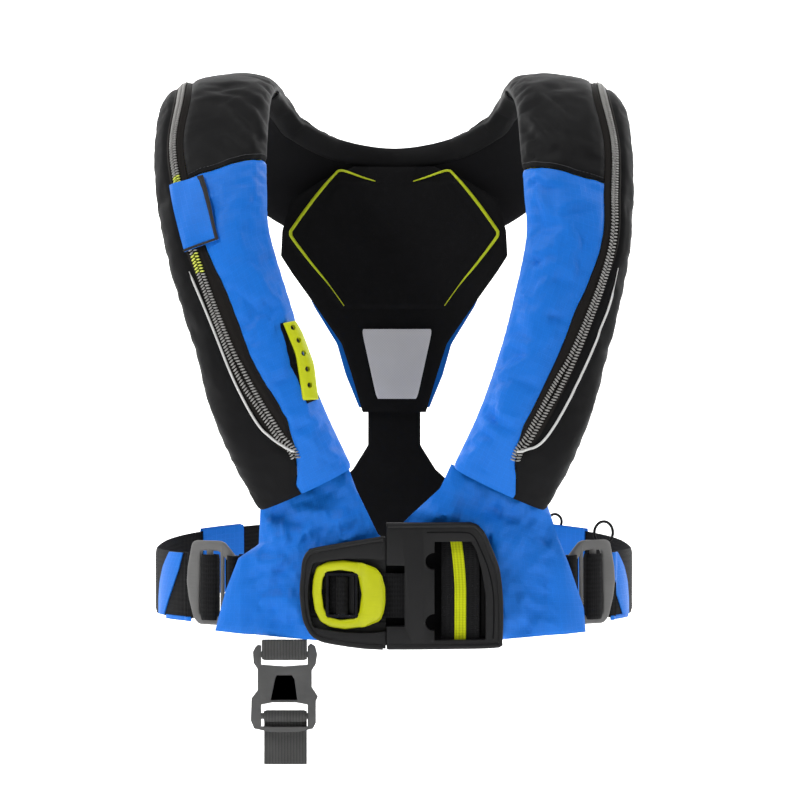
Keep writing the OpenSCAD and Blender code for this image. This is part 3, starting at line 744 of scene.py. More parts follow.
def grid_solid(name: str, outer: Array, inner: Array, finish: str, sharp: float = 50.0) -> bpy.types.Object:
    """A closed solid between two grids of points.

    Args:
        name: the object's name.
        outer: (rows, columns, 3) points of the outward face.
        inner: the same for the inward face.
        finish: the finish's name.
        sharp: smoothing angle in degrees.

    Returns:
        The object, with UVs in metres along rows and columns.
    """
    rows, cols, _ = outer.shape
    along = np.stack([lengths(outer[:, c]) for c in (0, cols // 2, cols - 1)]).mean(axis=0)
    across = np.stack([lengths(outer[r]) for r in range(rows)])
    uv = np.stack([np.repeat(along[:, None], cols, 1), across - across[:, [cols // 2]]], axis=-1)
    points = np.concatenate([outer.reshape(-1, 3), inner.reshape(-1, 3)])
    m = rows * cols
    idx = np.arange(m).reshape(rows, cols)
    a, b, c, d = idx[:-1, :-1].ravel(), idx[:-1, 1:].ravel(), idx[1:, 1:].ravel(), idx[1:, :-1].ravel()
    top = np.stack([a, b, c, d], axis=1)
    bottom = np.stack([a, d, c, b], axis=1) + m
    rims = []
    for line, flip in ((idx[:, 0], False), (idx[:, -1], True), (idx[0], True), (idx[-1], False)):
        p, q = (line[:-1], line[1:]) if not flip else (line[1:], line[:-1])
        rims.append(np.stack([p, q, q + m, p + m], axis=1))
    faces = np.concatenate([top, bottom, *rims])
    piece = new_piece(name, points, faces.tolist(), finish, np.concatenate([uv.reshape(-1, 2)] * 2), sharp)
    face_outwards(piece)
    return piece


def face_outwards(piece: bpy.types.Object) -> None:
    """Makes every face of a closed mesh point outwards.

    Args:
        piece: the closed piece.
    """
    bm = bmesh.new()
    bm.from_mesh(piece.data)
    bmesh.ops.recalc_face_normals(bm, faces=bm.faces)
    bm.to_mesh(piece.data)
    bm.free()


def ribbon(
    name: str,
    centre: Array,
    across: Array,
    out: Array,
    half_w: float | Array,
    thick: float | Array,
    finish: str,
    crown: float = 0.0,
    sides: int = 12,
) -> bpy.types.Object:
    """A strap swept along a path with rounded edges.

    Args:
        name: the object's name.
        centre: (n, 3) points of its middle line.
        across: (n, 3) unit vectors across it.
        out: (n, 3) unit vectors out of its face.
        half_w: half its width.
        thick: its thickness.
        finish: the finish's name.
        crown: how far its middle stands proud.
        sides: divisions across each face.

    Returns:
        The object.
    """
    n = len(centre)
    half_w = np.broadcast_to(np.asarray(half_w, float), (n,))[:, None]
    thick = np.broadcast_to(np.asarray(thick, float), (n,))[:, None]
    s = np.linspace(-1, 1, sides + 1)
    edge = np.sqrt(np.clip(1 - np.clip((np.abs(s) - 0.9) / 0.1, 0, 1) ** 2, 0, 1)) * 0.85 + 0.15
    front = np.stack([s[None] * half_w, thick * 0.5 * edge[None] + crown * (1 - s[None] ** 2)], axis=-1)
    back = np.stack([s[None, ::-1] * half_w, -thick * 0.5 * edge[None] + crown * (1 - s[None] ** 2)], axis=-1)
    ring = np.concatenate([front, back], axis=1)
    points = centre[:, None] + across[:, None] * ring[..., :1] + out[:, None] * ring[..., 1:]
    m = ring.shape[1]
    run = lengths(centre)
    uv = np.stack([np.repeat(run[:, None], m, 1), ring[..., 0]], axis=-1)
    return close_tube(name, points, uv, finish)


def close_tube(name: str, rings: Array, uv: Array, finish: str, sharp: float = 50.0) -> bpy.types.Object:
    """Joins rings of points into a closed solid with capped ends.

    Args:
        name: the object's name.
        rings: (n, m, 3) points.
        uv: (n, m, 2) coordinates in metres.
        finish: the finish's name.
        sharp: smoothing angle in degrees.

    Returns:
        The object.
    """
    n, m, _ = rings.shape
    idx = np.arange(n * m).reshape(n, m)
    nxt = np.roll(idx, -1, axis=1)
    faces = np.stack([idx[:-1].ravel(), nxt[:-1].ravel(), nxt[1:].ravel(), idx[1:].ravel()], axis=1).tolist()
    faces += [idx[0].tolist(), idx[-1][::-1].tolist()]
    piece = new_piece(name, rings.reshape(-1, 3), faces, finish, uv.reshape(-1, 2), sharp)
    face_outwards(piece)
    return piece


def tube(
    name: str, path: Array, radius: float | Array, finish: str, out: Array | None = None, flat: float = 1.0,
    sides: int = 12
) -> bpy.types.Object:
    """A round or flattened tube along a path.

    Args:
        name: the object's name.
        path: (n, 3) points.
        radius: its radius, or one for each point.
        finish: the finish's name.
        out: vectors that its flattening points along.
        flat: height over width.
        sides: sides round it.

    Returns:
        The object.
    """
    n = len(path)
    along = unit(np.gradient(path, axis=0))
    guide = np.broadcast_to(np.array([0.0, -1.0, 0.2]), (n, 3)) if out is None else out
    up = unit(guide - along * np.sum(guide * along, axis=1, keepdims=True))
    side = np.cross(along, up)
    a = np.linspace(0, 2 * math.pi, sides, endpoint=False)
    r = np.broadcast_to(np.asarray(radius, float), (n,))[:, None, None]
    turn = side[:, None] * np.cos(a)[None, :, None] + up[:, None] * flat * np.sin(a)[None, :, None]
    girth = np.broadcast_to(a, (n, sides)) * np.mean(r)
    uv = np.stack([np.repeat(lengths(path)[:, None], sides, 1), girth], axis=-1)
    return close_tube(name, path[:, None] + r * turn, uv, finish)


def cubic(a: Array, b: Array, c: Array, d: Array, t: Array) -> Array:
    """The Catmull-Rom curve between two values.

    Args:
        a: the value before.
        b: the value where t is 0.
        c: the value where t is 1.
        d: the value after.
        t: the share of the way.

    Returns:
        Values on the curve.
    """
    return 0.5 * (2 * b + (c - a) * t + (2 * a - 5 * b + 4 * c - d) * t**2 + (3 * b - a - 3 * c + d) * t**3)


def smooth_line(points: Sequence[Sequence[float]], count: int) -> Array:
    """A Catmull-Rom curve through points, evenly spaced.

    Args:
        points: the points in order.
        count: how many points to return.

    Returns:
        (count, d) points.
    """
    p = np.asarray(points, float)
    p = np.concatenate([[2 * p[0] - p[1]], p, [2 * p[-1] - p[-2]]])
    out = []
    for i in range(1, len(p) - 2):
        t = np.linspace(0, 1, 24, endpoint=False)[:, None]
        a, b, c, d = p[i - 1], p[i], p[i + 1], p[i + 2]
        out.append(cubic(a, b, c, d, t))
    line = np.concatenate([*out, p[-2:-1]])
    run = lengths(line)
    at = np.linspace(0, run[-1], count)
    return np.stack([np.interp(at, run, line[:, i]) for i in range(line.shape[1])], axis=1)


class BeadTree:
    """A Geometry Nodes tree that sets a small rounded bead on every point it is given."""

    def __init__(self) -> None:
        """Builds the tree."""
        tree = bpy.data.node_groups.new("set_beads", "GeometryNodeTree")
        face = tree.interface
        face.new_socket("Geometry", in_out="INPUT", socket_type="NodeSocketGeometry")
        self.ids: dict[str, str] = {}
        for label, kind, value in (
            ("Size", "NodeSocketVector", (0.001, 0.001, 0.001)),
            ("Jitter", "NodeSocketFloat", 0.0),
            ("Seed", "NodeSocketInt", 7),
            ("Finish", "NodeSocketMaterial", None),
        ):
            socket = face.new_socket(label, in_out="INPUT", socket_type=kind)
            if value is not None:
                socket.default_value = value
            self.ids[label] = socket.identifier
        face.new_socket("Geometry", in_out="OUTPUT", socket_type="NodeSocketGeometry")
        add = tree.nodes.new
        inp, out = add("NodeGroupInput"), add("NodeGroupOutput")
        bead = add("GeometryNodeMeshUVSphere")
        bead.inputs["Segments"].default_value = 8
        bead.inputs["Rings"].default_value = 5
        bead.inputs["Radius"].default_value = 0.5
        points = add("GeometryNodeMeshToPoints")
        spot = add("GeometryNodeInstanceOnPoints")
        along, face_out = add("GeometryNodeInputNamedAttribute"), add("GeometryNodeInputNamedAttribute")
        first, second = add("FunctionNodeAlignRotationToVector"), add("FunctionNodeAlignRotationToVector")
        for node, attribute in ((along, "along"), (face_out, "out")):
            node.data_type = "FLOAT_VECTOR"
            node.inputs["Name"].default_value = attribute
        first.axis = "X"
        second.axis = "Z"
        second.pivot_axis = "X"
        wobble = add("FunctionNodeRandomValue")
        wobble.data_type = "FLOAT"
        grow = add("ShaderNodeVectorMath")
        grow.operation = "SCALE"
        low, high = add("ShaderNodeMath"), add("ShaderNodeMath")
        low.operation, high.operation = "SUBTRACT", "ADD"
        low.inputs[0].default_value = high.inputs[0].default_value = 1.0
        real, paint = add("GeometryNodeRealizeInstances"), add("GeometryNodeSetMaterial")
        join = tree.links.new
        join(inp.outputs["Geometry"], points.inputs[0])
        join(points.outputs[0], spot.inputs["Points"])
        join(bead.outputs[0], spot.inputs["Instance"])
        join(along.outputs["Attribute"], first.inputs["Vector"])
        join(first.outputs[0], second.inputs["Rotation"])
        join(face_out.outputs["Attribute"], second.inputs["Vector"])
        join(second.outputs[0], spot.inputs["Rotation"])
        join(inp.outputs["Jitter"], low.inputs[1])
        join(inp.outputs["Jitter"], high.inputs[1])
        floats = [s for s in wobble.inputs if s.type == "VALUE"]
        join(low.outputs[0], floats[0])
        join(high.outputs[0], floats[1])
        join(inp.outputs["Seed"], wobble.inputs["Seed"])
        join(inp.outputs["Size"], grow.inputs[0])
        join([s for s in wobble.outputs if s.type == "VALUE"][0], grow.inputs["Scale"])
        join(grow.outputs[0], spot.inputs["Scale"])
        join(spot.outputs[0], real.inputs[0])
        join(real.outputs[0], paint.inputs["Geometry"])
        join(inp.outputs["Finish"], paint.inputs["Material"])
        join(paint.outputs[0], out.inputs[0])
        self.tree = tree

    def lay(
        self, name: str, points: Array, along: Array, out: Array, size: Colour, finish: str,
        jitter: float = 0.04
    ) -> bpy.types.Object:
        """Sets one bead on each point and returns them as one mesh.

        Args:
            name: the object's name.
            points: (n, 3) places.
            along: (n, 3) direction of each bead's length.
            out: (n, 3) direction out of the surface.
            size: the bead's length, width and height.
            finish: the finish's name.
            jitter: how much the sizes vary.

        Returns:
            The object.
        """
        mesh = bpy.data.meshes.new(name)
        mesh.from_pydata(points.tolist(), [], [])
        for label, values in (("along", along), ("out", out)):
            layer = mesh.attributes.new(label, "FLOAT_VECTOR", "POINT")
            layer.data.foreach_set("vector", np.ascontiguousarray(values, dtype=np.float32).ravel())
        piece = linked(name, mesh)
        modifier = piece.modifiers.new("beads", "NODES")
        modifier.node_group = self.tree
        modifier[self.ids["Size"]] = size
        modifier[self.ids["Jitter"]] = jitter
        modifier[self.ids["Finish"]] = WARDROBE.get(finish)
        final = settle(piece)
        final.shade_smooth()
        final.name = name
        if not final.materials:
            final.materials.append(WARDROBE.get(finish))
        return piece


BEADS = BeadTree()


def soften(
    name: str, node: str, finish: str, width: float, segments: int = 3, angle: float = 32.0
) -> bpy.types.Object:
    """A copy of a CAD node with its corners rounded.

    Args:
        name: the new object's name.
        node: the CAD node.
        finish: the finish's name.
        width: the rounding's width in metres.
        segments: faces across the rounding.
        angle: edges sharper than this many degrees are rounded.

    Returns:
        The object, with the bevel applied.
    """
    bm = bmesh.new()
    bm.from_mesh(frame["nodes"][node].data)
    bmesh.ops.remove_doubles(bm, verts=bm.verts, dist=1e-5)
    bmesh.ops.dissolve_limit(bm, angle_limit=math.radians(1.5), verts=bm.verts, edges=bm.edges)
    bmesh.ops.recalc_face_normals(bm, faces=bm.faces)
    mesh = bpy.data.meshes.new(name)
    bm.to_mesh(mesh)
    bm.free()
    piece = linked(name, mesh)
    bevel = piece.modifiers.new("soften", "BEVEL")
    bevel.width = width
    bevel.segments = segments
    bevel.limit_method = "ANGLE"
    bevel.angle_limit = math.radians(angle)
    bevel.harden_normals = False
    bevel.miter_outer = "MITER_ARC"
    final = settle(piece)
    final.materials.clear()
    final.materials.append(WARDROBE.flat_copy(finish))
    final.shade_smooth()
    final.set_sharp_from_angle(angle=math.radians(30))
    return piece


# ---------------------------------------------------------------- the casing's surface


SEAM_TURN = 1.9  # distance over which fabric turns in at a seam, in millimetres


@dataclass
class Casing:
    """The horseshoe casing: stations along it, its section, and the folds of its fabric."""

    fold_depth: float = 5.0
    per_station: int = 12
    around: int = 64
    exponent: float = 0.83
    left: Array = field(
        default_factory=lambda: np.array(
            [
                [-64, -127, -291, -0.20, -1.0, 0.00, 38.0, 15, 9, 80],
                [-82, -134, -255, -0.28, -1.0, 0.00, 39.5, 24, 15, 81],
                [-96, -136, -219, -0.33, -1.0, 0.00, 39.5, 26, 18, 88],
                [-108, -136, -176, -0.38, -1.0, 0.05, 39.5, 26, 18, 96],
                [-126, -130, -118, -0.38, -1.0, 0.12, 40.0, 24, 17, 102],
                [-132, -119, -80, -0.33, -1.0, 0.30, 42.0, 21, 14, 111],
                [-135, -102, -45, -0.28, -1.0, 0.70, 43.0, 18, 12, 120],
                [-135, -72, -12, -0.22, -0.8, 1.00, 43.0, 16, 11, 118],
                [-133, -35, 5, -0.15, -0.3, 1.00, 43.0, 15, 10, 125],
                [-130, 5, 9, -0.10, 0.1, 1.00, 43.0, 15, 10, 132],
                [-123, 48, 0, -0.05, 0.6, 1.00, 43.0, 15, 10, 138],
                [-105, 80, -24, 0.00, 1.0, 0.70, 43.0, 14, 10, 143],
                [-62, 102, -51, -0.10, 1.0, 0.30, 43.0, 14, 10, 147],
            ]
        )
    )

    def __post_init__(self) -> None:
        """Works out both sides' stations and an empty fold field."""
        shift = np.array([13, 13, 12, 12, 7, 3, 0, -1, -3, -2, 0, 0, 0])
        turn = np.array([4, 3, 1, 2, 9, 4, 0, -2, 0, 0, 0, 0, 0])
        right = self.left[::-1].copy()
        right[:, 0] = -right[:, 0] + shift[::-1]
        right[:, 3] *= -1
        right[:, 9] += turn[::-1]
        self.rows = np.concatenate([self.left, [[0, 109, -62, 0, 1, 0.12, 43, 14, 10, 148]], right])
        self.last = len(self.rows) - 1
        self.field = np.zeros((self.last * self.per_station + 1, self.around, 3))

    def row(self, k: Array) -> Array:
        """The station values at fractional indices.

        Args:
            k: indices, any shape.

        Returns:
            An array with one more axis of ten values.
        """
        q = np.clip(np.asarray(k, float), 0, self.last)
        i = np.minimum(np.floor(q).astype(int), self.last - 1)
        t = (q - i)[..., None]
        a, b = self.rows[np.maximum(i - 1, 0)], self.rows[i]
        c, d = self.rows[i + 1], self.rows[np.minimum(i + 2, self.last)]
        return cubic(a, b, c, d, t)

    def frame_at(self, k: Array) -> tuple[Array, Array, Array]:
        """The tangent, outward normal and neckward direction at k.

        Args:
            k: station indices.

        Returns:
            Three arrays of unit vectors.
        """
        k = np.asarray(k, float)
        ahead = self.row(np.minimum(k + 0.05, self.last))[..., :3]
        behind = self.row(np.maximum(k - 0.05, 0))[..., :3]
        t = unit(ahead - behind)
        n = self.row(k)[..., 3:6]
        n = unit(n - t * np.sum(n * t, axis=-1, keepdims=True))
        return t, n, np.cross(t, n)

    def bare(self, k: Array, phi: Array, t: Array) -> Array:
        """Points of the smooth casing in metres.

        Args:
            k: station indices.
            phi: angles round the section in degrees.
            t: distances out of the fabric's face in millimetres.

        Returns:
            Points.
        """
        k, phi, t = np.broadcast_arrays(np.asarray(k, float), np.asarray(phi, float), np.asarray(t, float))
        row = self.row(k)
        _, n, inner = self.frame_at(k)
        c, s = np.cos(np.radians(phi)), np.sin(np.radians(phi))
        a = (row[..., 6] + t) * np.sign(c) * np.abs(c) ** self.exponent
        b = (np.where(s > 0, row[..., 7], row[..., 8]) + t) * np.sign(s) * np.abs(s) ** self.exponent
        return (row[..., :3] + inner * a[..., None] + n * b[..., None]) * MM

    def zip_at(self, k: Array) -> Array:
        """The zip's angle at station k.

        Args:
            k: station indices.

        Returns:
            Angles in degrees.
        """
        return self.row(k)[..., 9]

    def fold(self, k: Array, phi: Array) -> Array:
        """How far the folded fabric has moved there, in metres.

        Args:
            k: station indices.
            phi: angles round the section in degrees.

        Returns:
            Movements.
        """
        k, phi = np.broadcast_arrays(np.asarray(k, float), np.asarray(phi, float))
        u = np.clip(k * self.per_station, 0, self.field.shape[0] - 1.001)
        v = (phi % 360) / 360 * self.around
        i, j = np.floor(u).astype(int), np.floor(v).astype(int) % self.around
        fu, fv = (u - i)[..., None], (v - np.floor(v))[..., None]
        jn = (j + 1) % self.around
        f = self.field
        low, high = (f[i, at] * (1 - fu) + f[i + 1, at] * fu for at in (j, jn))
        return low * (1 - fv) + high * fv

    def skin(self, k: Array, phi: Array, t: Array) -> Array:
        """Points of the folded casing in metres, with the same arguments as bare.

        Args:
            k: station indices.
            phi: angles round the section in degrees.
            t: distances outside the surface in millimetres.

        Returns:
            Points.
        """
        return self.bare(k, phi, t) + self.fold(k, phi)

    def out_at(self, k: Array, phi: Array) -> Array:
        """Unit vectors out of the smooth fabric.

        Args:
            k: station indices.
            phi: angles round the section in degrees.

        Returns:
            Unit vectors.
        """
        return unit(self.bare(k, phi, 4.0) - self.bare(k, phi, 0.0))

    def steps(self, k0: float, k1: float, pitch: float) -> Array:
        """Station indices spaced evenly along the casing by about pitch millimetres.

        Args:
            k0: first station.
            k1: last station.
            pitch: the spacing.

        Returns:
            Station indices.
        """
        k = np.linspace(k0, k1, 400)
        run = lengths(self.row(k)[..., :3])
        return np.interp(np.linspace(0, run[-1], max(2, int(run[-1] / pitch)) + 1), run, k)

    def patch(
        self,
        name: str,
        k0: float,
        k1: float,
        low: Callable[[Array], Array],
        high: Callable[[Array], Array],
        t_in: float,
        t_out: float,
        finish: str,
        tuck: float = 1.3,
        slant: tuple[float, float] = (0.0, 0.0),
        pitch: float = 2.4,
        columns: int = 36,
        profile: Callable[[Array, Array], Array] | None = None,
        end_tuck: tuple[float, float] = (1.0, 1.0),
    ) -> bpy.types.Object:
        """A piece of fabric on the casing whose edges turn in at its seams.

        Args:
            name: the object's name.
            k0: first station.
            k1: last station.
            low: gives the lower angle at each station.
            high: gives the upper angle.
            t_in: inner face.
            t_out: outer face.
            finish: the finish's name.
            tuck: how far the seams turn in.
            slant: how much each end slants over the width.
            pitch: spacing along the casing in millimetres.
            columns: divisions round the section.
            profile: extra height from the station grid and the 0 to 1 position across.
            end_tuck: weights of the tuck at the two ends.

        Returns:
            The object.
        """
        base = self.steps(min(k0, k1), max(k0, k1), pitch)
        base = base if k1 > k0 else base[::-1]
        f = ((base - k0) / (k1 - k0))[:, None]
        c = np.linspace(0, 1, columns + 1)[None]
        k = (k0 + slant[0] * c) * (1 - f) + (k1 + slant[1] * c) * f
        lo, hi = low(k), high(k)
        phi = lo + (hi - lo) * c
        flat = self.bare(k, phi, 0.0)
        run = np.stack([lengths(row) for row in flat]) / MM
        edge = np.minimum(run, run[:, -1:] - run)
        ends = np.linspace(0, 1, len(base))[:, None] * lengths(flat[:, columns // 2])[-1] / MM
        length = ends[-1]
        drop = np.zeros_like(k)
        for far, share in ((edge, 1.0), (ends, end_tuck[0]), (length - ends, end_tuck[1])):
            drop = np.maximum(drop, np.exp(-((far / SEAM_TURN) ** 2)) * tuck * share)
        height = t_out - drop + (profile(k, c) if profile else 0.0)
        outer = self.skin(k, phi, height)
        inner = self.skin(k, phi, np.full_like(k, t_in))
        return grid_solid(name, outer, inner, finish)


def steady(angle: float) -> Callable[[Array], Array]:
    """An edge that keeps one angle.

    Args:
        angle: the angle in degrees.

    Returns:
        A function of the station.
    """
    return lambda k: np.full_like(k, angle)


def beside_zip(by: float) -> Callable[[Array], Array]:
    """An edge that runs beside the zip.

    Args:
        by: how many degrees outside the zip's line, negative for inside.

    Returns:
        A function of the station.
    """
    return lambda k: CASING.zip_at(k) + by


def knots(values: Sequence[tuple[float, float]]) -> Callable[[Array], Array]:
    """A smooth function through (station, angle) pairs.

    Args:
        values: the pairs.

    Returns:
        A function of the station.
    """
    pairs = sorted(values)
    x, y = np.array([p[0] for p in pairs], float), np.array([p[1] for p in pairs], float)
    fine = np.linspace(x[0], x[-1], 400)
    coarse = np.interp(fine, x, y)
    kernel = np.hanning(23)
    smooth = np.convolve(np.pad(coarse, 11, mode="edge"), kernel / kernel.sum(), mode="valid")
    return lambda k: np.interp(k, fine, smooth)


@dataclass(frozen=True)
class Crease:
    """A fold pressed into the fabric between two points of the casing."""

    k0: float
    phi0: float
    k1: float
    phi1: float
    depth: float = 1.6
    width: float = 4.0


class FabricFolds:
    """Fills the casing's cover by cloth simulation and presses its main creases in."""

    def __init__(self, casing: Casing, crease_gain: float = 1.6) -> None:
        """Keeps the casing and how deep the creases go."""
        self.casing = casing
        self.crease_gain = crease_gain

    def grid(self) -> tuple[Array, Array, Array]:
        """Station indices, angles and points of the simulated grid."""
        c = self.casing
        k = np.arange(c.field.shape[0]) / c.per_station
        phi = np.arange(c.around) * 360 / c.around
        kk, pp = np.meshgrid(k, phi, indexing="ij")
        return kk, pp, c.bare(kk, pp, 0.0)

    def hold(self, kk: Array, pp: Array) -> Array:
        """How firmly the seams hold each point, from 0 to 1.

        Args:
            kk: station indices.
            pp: angles in degrees.

        Returns:
            Weights.
        """
        z = self.casing.zip_at(kk)
        near_zip = np.exp(-((np.maximum(np.abs(pp - z) - 10, 0) / 5) ** 2))
        wearer = 1 / (1 + np.exp(-(np.minimum(pp - 181, 357 - pp)) / 2.0))
        edge = np.exp(-((np.minimum(pp, np.abs(pp - 180)) / 5) ** 2))
        ends = np.exp(-((np.minimum(kk, self.casing.last - kk) / 0.15) ** 2))
        return np.clip(np.maximum.reduce([near_zip, wearer, edge, ends]), 0, 1)

    def simulate(self) -> None:
        """Lets the slightly full cover buckle between its seams and keeps its movement."""
        kk, pp, points = self.grid()
        n, m, _ = points.shape
        idx = np.arange(n * m).reshape(n, m)
        nxt = np.roll(idx, -1, axis=1)
        faces = np.stack([idx[:-1].ravel(), nxt[:-1].ravel(), nxt[1:].ravel(), idx[1:].ravel()], axis=1)
        mesh = bpy.data.meshes.new("cover_trial")
        mesh.from_pydata(points.reshape(-1, 3).tolist(), [], faces.tolist())
        cloth_body = linked("cover_trial", mesh)
        group = cloth_body.vertex_groups.new(name="held")
        weight = self.hold(kk, pp).ravel()
        for level in range(1, 11):
            pick = np.nonzero(np.round(weight * 10).astype(int) == level)[0].tolist()
            if pick:
                group.add(pick, level / 10, "REPLACE")
        modifier = cloth_body.modifiers.new("cover", "CLOTH")
        s = modifier.settings
        s.vertex_group_mass = "held"
        s.quality = 6
        s.mass = 0.15
        s.tension_stiffness = 30
        s.compression_stiffness = 30
        s.shear_stiffness = 12
        s.bending_stiffness = 0.25
        s.tension_damping = s.compression_damping = s.shear_damping = 8
        s.pin_stiffness = 8
        s.shrink_min = -0.055
        s.use_pressure = True
        s.uniform_pressure_force = 2.2
        s.effector_weights.gravity = 0
        modifier.collision_settings.use_collision = False
        modifier.point_cache.frame_start = 1
        modifier.point_cache.frame_end = 24
        scene = bpy.context.scene
        for number in range(1, 25):
            scene.frame_set(number)
        shown = cloth_body.evaluated_get(bpy.context.evaluated_depsgraph_get())
        flat = np.empty(n * m * 3)
        shown.data.vertices.foreach_get("co", flat)
        scene.frame_set(1)
        moved = flat.reshape(n, m, 3) - points
        bpy.data.objects.remove(cloth_body)
        bpy.data.meshes.remove(mesh)
        size = np.linalg.norm(moved, axis=-1, keepdims=True)
        cap = self.casing.fold_depth * MM
        moved = moved * (cap * np.tanh(size / cap) / np.maximum(size, 1e-9))
        moved *= (1 - 0.85 * weight.reshape(n, m, 1))
        self.casing.field += moved
        LOG.info("cover folds: mean %.2f mm, most %.2f mm", float(size.mean() / MM), float(size.max() / MM))

    def press(self, creases: Sequence[Crease]) -> None:
        """Presses each crease into the fold field.

        Args:
            creases: the creases, in stations and degrees.
        """
        kk, pp, points = self.grid()
        out = self.casing.out_at(kk, pp)
        hold = self.hold(kk, pp)
        total = np.zeros(kk.shape)
        for crease in creases:
            a = self.casing.bare(crease.k0, crease.phi0, 0.0)
            b = self.casing.bare(crease.k1, crease.phi1, 0.0)
            span = np.linalg.norm(b - a)
            d = (b - a) / span
            rel = points - a
            s = rel @ d
            side = np.cross(out, d)
            across = np.sum(rel * unit(side), axis=-1) / MM
            far = np.linalg.norm(rel - s[..., None] * d, axis=-1) / MM
            f = s / span
            taper = np.clip(1 - np.abs(2 * f - 1) ** 3, 0, 1) * ((f > 0) & (f < 1)) * (far < 25)
            w = crease.width
            shape = -np.exp(-((across / w) ** 2)) + 0.55 * np.exp(-(((across - 1.7 * w) / w) ** 2))
            total += taper * shape * crease.depth * self.crease_gain
        field = self.casing.field
        lift = np.sum(field * out, axis=-1, keepdims=True)
        field -= out * np.maximum(lift, 0) * 0.45
        own = np.minimum(kk, self.casing.last - kk)
        outside = np.clip((pp - self.casing.zip_at(kk)) / 12, 0, 1) * (pp < 200)
        keep = (1 - 0.6 * outside) * (1 - 0.35 * np.clip((own - 5.4) / 0.6, 0, 1))
        field *= keep[..., None]
        field += out * (total * (1 - 0.7 * hold))[..., None] * MM


CASING = Casing()
LAST = CASING.last


@dataclass
class Lobe:
    """One side of the casing: chest and shoulder fabric, side panel, zip tapes and piping."""

    side: str
    seam_k: float
    seam_slant: float
    tape_edge: tuple[tuple[float, float], ...]
    piping: tuple[tuple[float, float], ...]
    collar_k: float = 10.4
    seam_gap: float = 0.010
    wrap: float = -13.0
    piping_r: float = 0.95

    def at(self, k: Array | float) -> Array | float:
        """The casing's station for one counted from this side's end.

        Args:
            k: a station counted from this side's end.

        Returns:
            The casing's station.
        """
        return k if self.side == "left" else LAST - k

    def blue_edge(self, k: Array) -> Array:
        """Where the chest fabric meets the zip's inner tape.

        Args:
            k: station indices.

        Returns:
            Angles in degrees.
        """
        own = self.at(k)
        low = knots(self.tape_edge)(own)
        blend = np.clip((own - 3.6) / 0.6, 0, 1)
        return low * (1 - blend) + (CASING.zip_at(k) - 11.2) * blend

    def side_edge(self, k: Array) -> Array:
        """Where the side panel meets the zip's outer tape.

        Args:
            k: station indices.

        Returns:
            Angles in degrees.
        """
        own = self.at(k)
        wide = CASING.zip_at(k) + 6.6 + 4.4 * np.clip((own - 3.6) / 0.5, 0, 1)
        closed = np.clip((own - 0.55) / 0.45, 0, 1)
        closed = closed * closed * (3 - 2 * closed)
        return self.blue_edge(k) * (1 - closed) + wide * closed

    def zip_line(self, k: Array) -> Array:
        """The zip's angle, turned in under the chest fabric at its lower end.

        Args:
            k: station indices.

        Returns:
            Angles in degrees.
        """
        own = self.at(k)
        f = np.clip((own - 0.55) / 0.5, 0, 1)
        return CASING.zip_at(k) * f + self.blue_edge(k) * (1 - f)

    def build(self) -> None:
        """Makes the side's fabric."""
        end = self.at(0.0)
        seam = self.at(self.seam_k)
        sign = 1 if self.side == "left" else -1
        slant = -self.seam_slant * sign
        front = CASING.patch(
            f"{self.side}_chest_fabric", end, seam - sign * self.seam_gap, steady(self.wrap),
            lambda k: self.blue_edge(k) - 0.3, -1.6, 0.0, "ripstop_blue", slant=(0, slant),
        )
        dress(front, "jacket", "ripstop_blue", f"{self.side}_front_panel")
        shoulder = CASING.patch(
            f"{self.side}_shoulder_fabric", seam + sign * self.seam_gap, self.at(self.collar_k),
            steady(self.wrap), beside_zip(-11.5), -1.6, 0.1, "shell_black",
            slant=(slant, 0), end_tuck=(1.0, 0.15),
        )
        dress(shoulder, "jacket", "shell_black", f"{self.side}_shoulder_panel")
        outer = CASING.patch(
            f"{self.side}_side_fabric", end, self.at(self.collar_k), lambda k: self.side_edge(k) + 0.3,
            steady(179.5), -1.6, 0.0, "side_black", columns=26, end_tuck=(1.0, 0.15),
        )
        dress(outer, "jacket", "side_black", f"{self.side}_side_panel")
        self.piping_cord()
        self.seam_stitches()

    def piping_cord(self) -> None:
        """The reflective piping outside the zip."""
        line = smooth_line(self.piping, 90)
        k, phi = self.at(line[:, 0]), line[:, 1]
        path = CASING.skin(k, phi, np.full(90, 0.5))
        ends = np.clip(np.minimum(np.arange(90), np.arange(90)[::-1]) / 3, 0.35, 1)
        cord = tube(
            f"{self.side}_piping", path, self.piping_r * MM * ends, "piping_silver", CASING.out_at(k, phi),
            0.8
        )
        dress(cord, "jacket", "reflective_silver")

    def seam_stitches(self) -> None:
        """A row of stitches just above the shoulder seam."""
        sign = 1 if self.side == "left" else -1
        f = np.linspace(0.03, 0.97, 42)
        k0 = self.at(self.seam_k) + sign * 0.075 - self.seam_slant * sign * f
        phi = 0.5 + (CASING.zip_at(k0) - 12) * f
        points = CASING.skin(k0, phi, np.full_like(phi, 0.15))
        along = unit(np.gradient(points, axis=0))
        row = BEADS.lay(
            f"{self.side}_seam_stitches", points, along, CASING.out_at(k0, phi),
            (2.0 * MM, 0.5 * MM, 0.5 * MM), "stitch_dark"
        )
        dress(row, "jacket", "shell_black")


LEFT = Lobe(
    "left", 5.6, 0.35,
    ((0.0, 91), (0.30, 91), (0.85, 73), (1.35, 66), (1.8, 70), (2.6, 80), (3.45, 85), (3.95, 91)),
    ((3.78, 112), (3.25, 105.5), (2.20, 97), (1.45, 92), (1.10, 87.5), (0.86, 80), (0.78, 75.5)),
)
RIGHT = Lobe(
    "right", 5.5, 0.35,
    ((0.0, 101), (0.15, 101), (0.90, 79), (1.25, 75), (2.15, 80), (3.25, 89), (3.95, 98.5)),
    ((3.82, 125), (3.45, 123), (2.60, 110), (1.80, 102), (1.15, 95), (0.90, 87), (0.82, 80.5)),
)


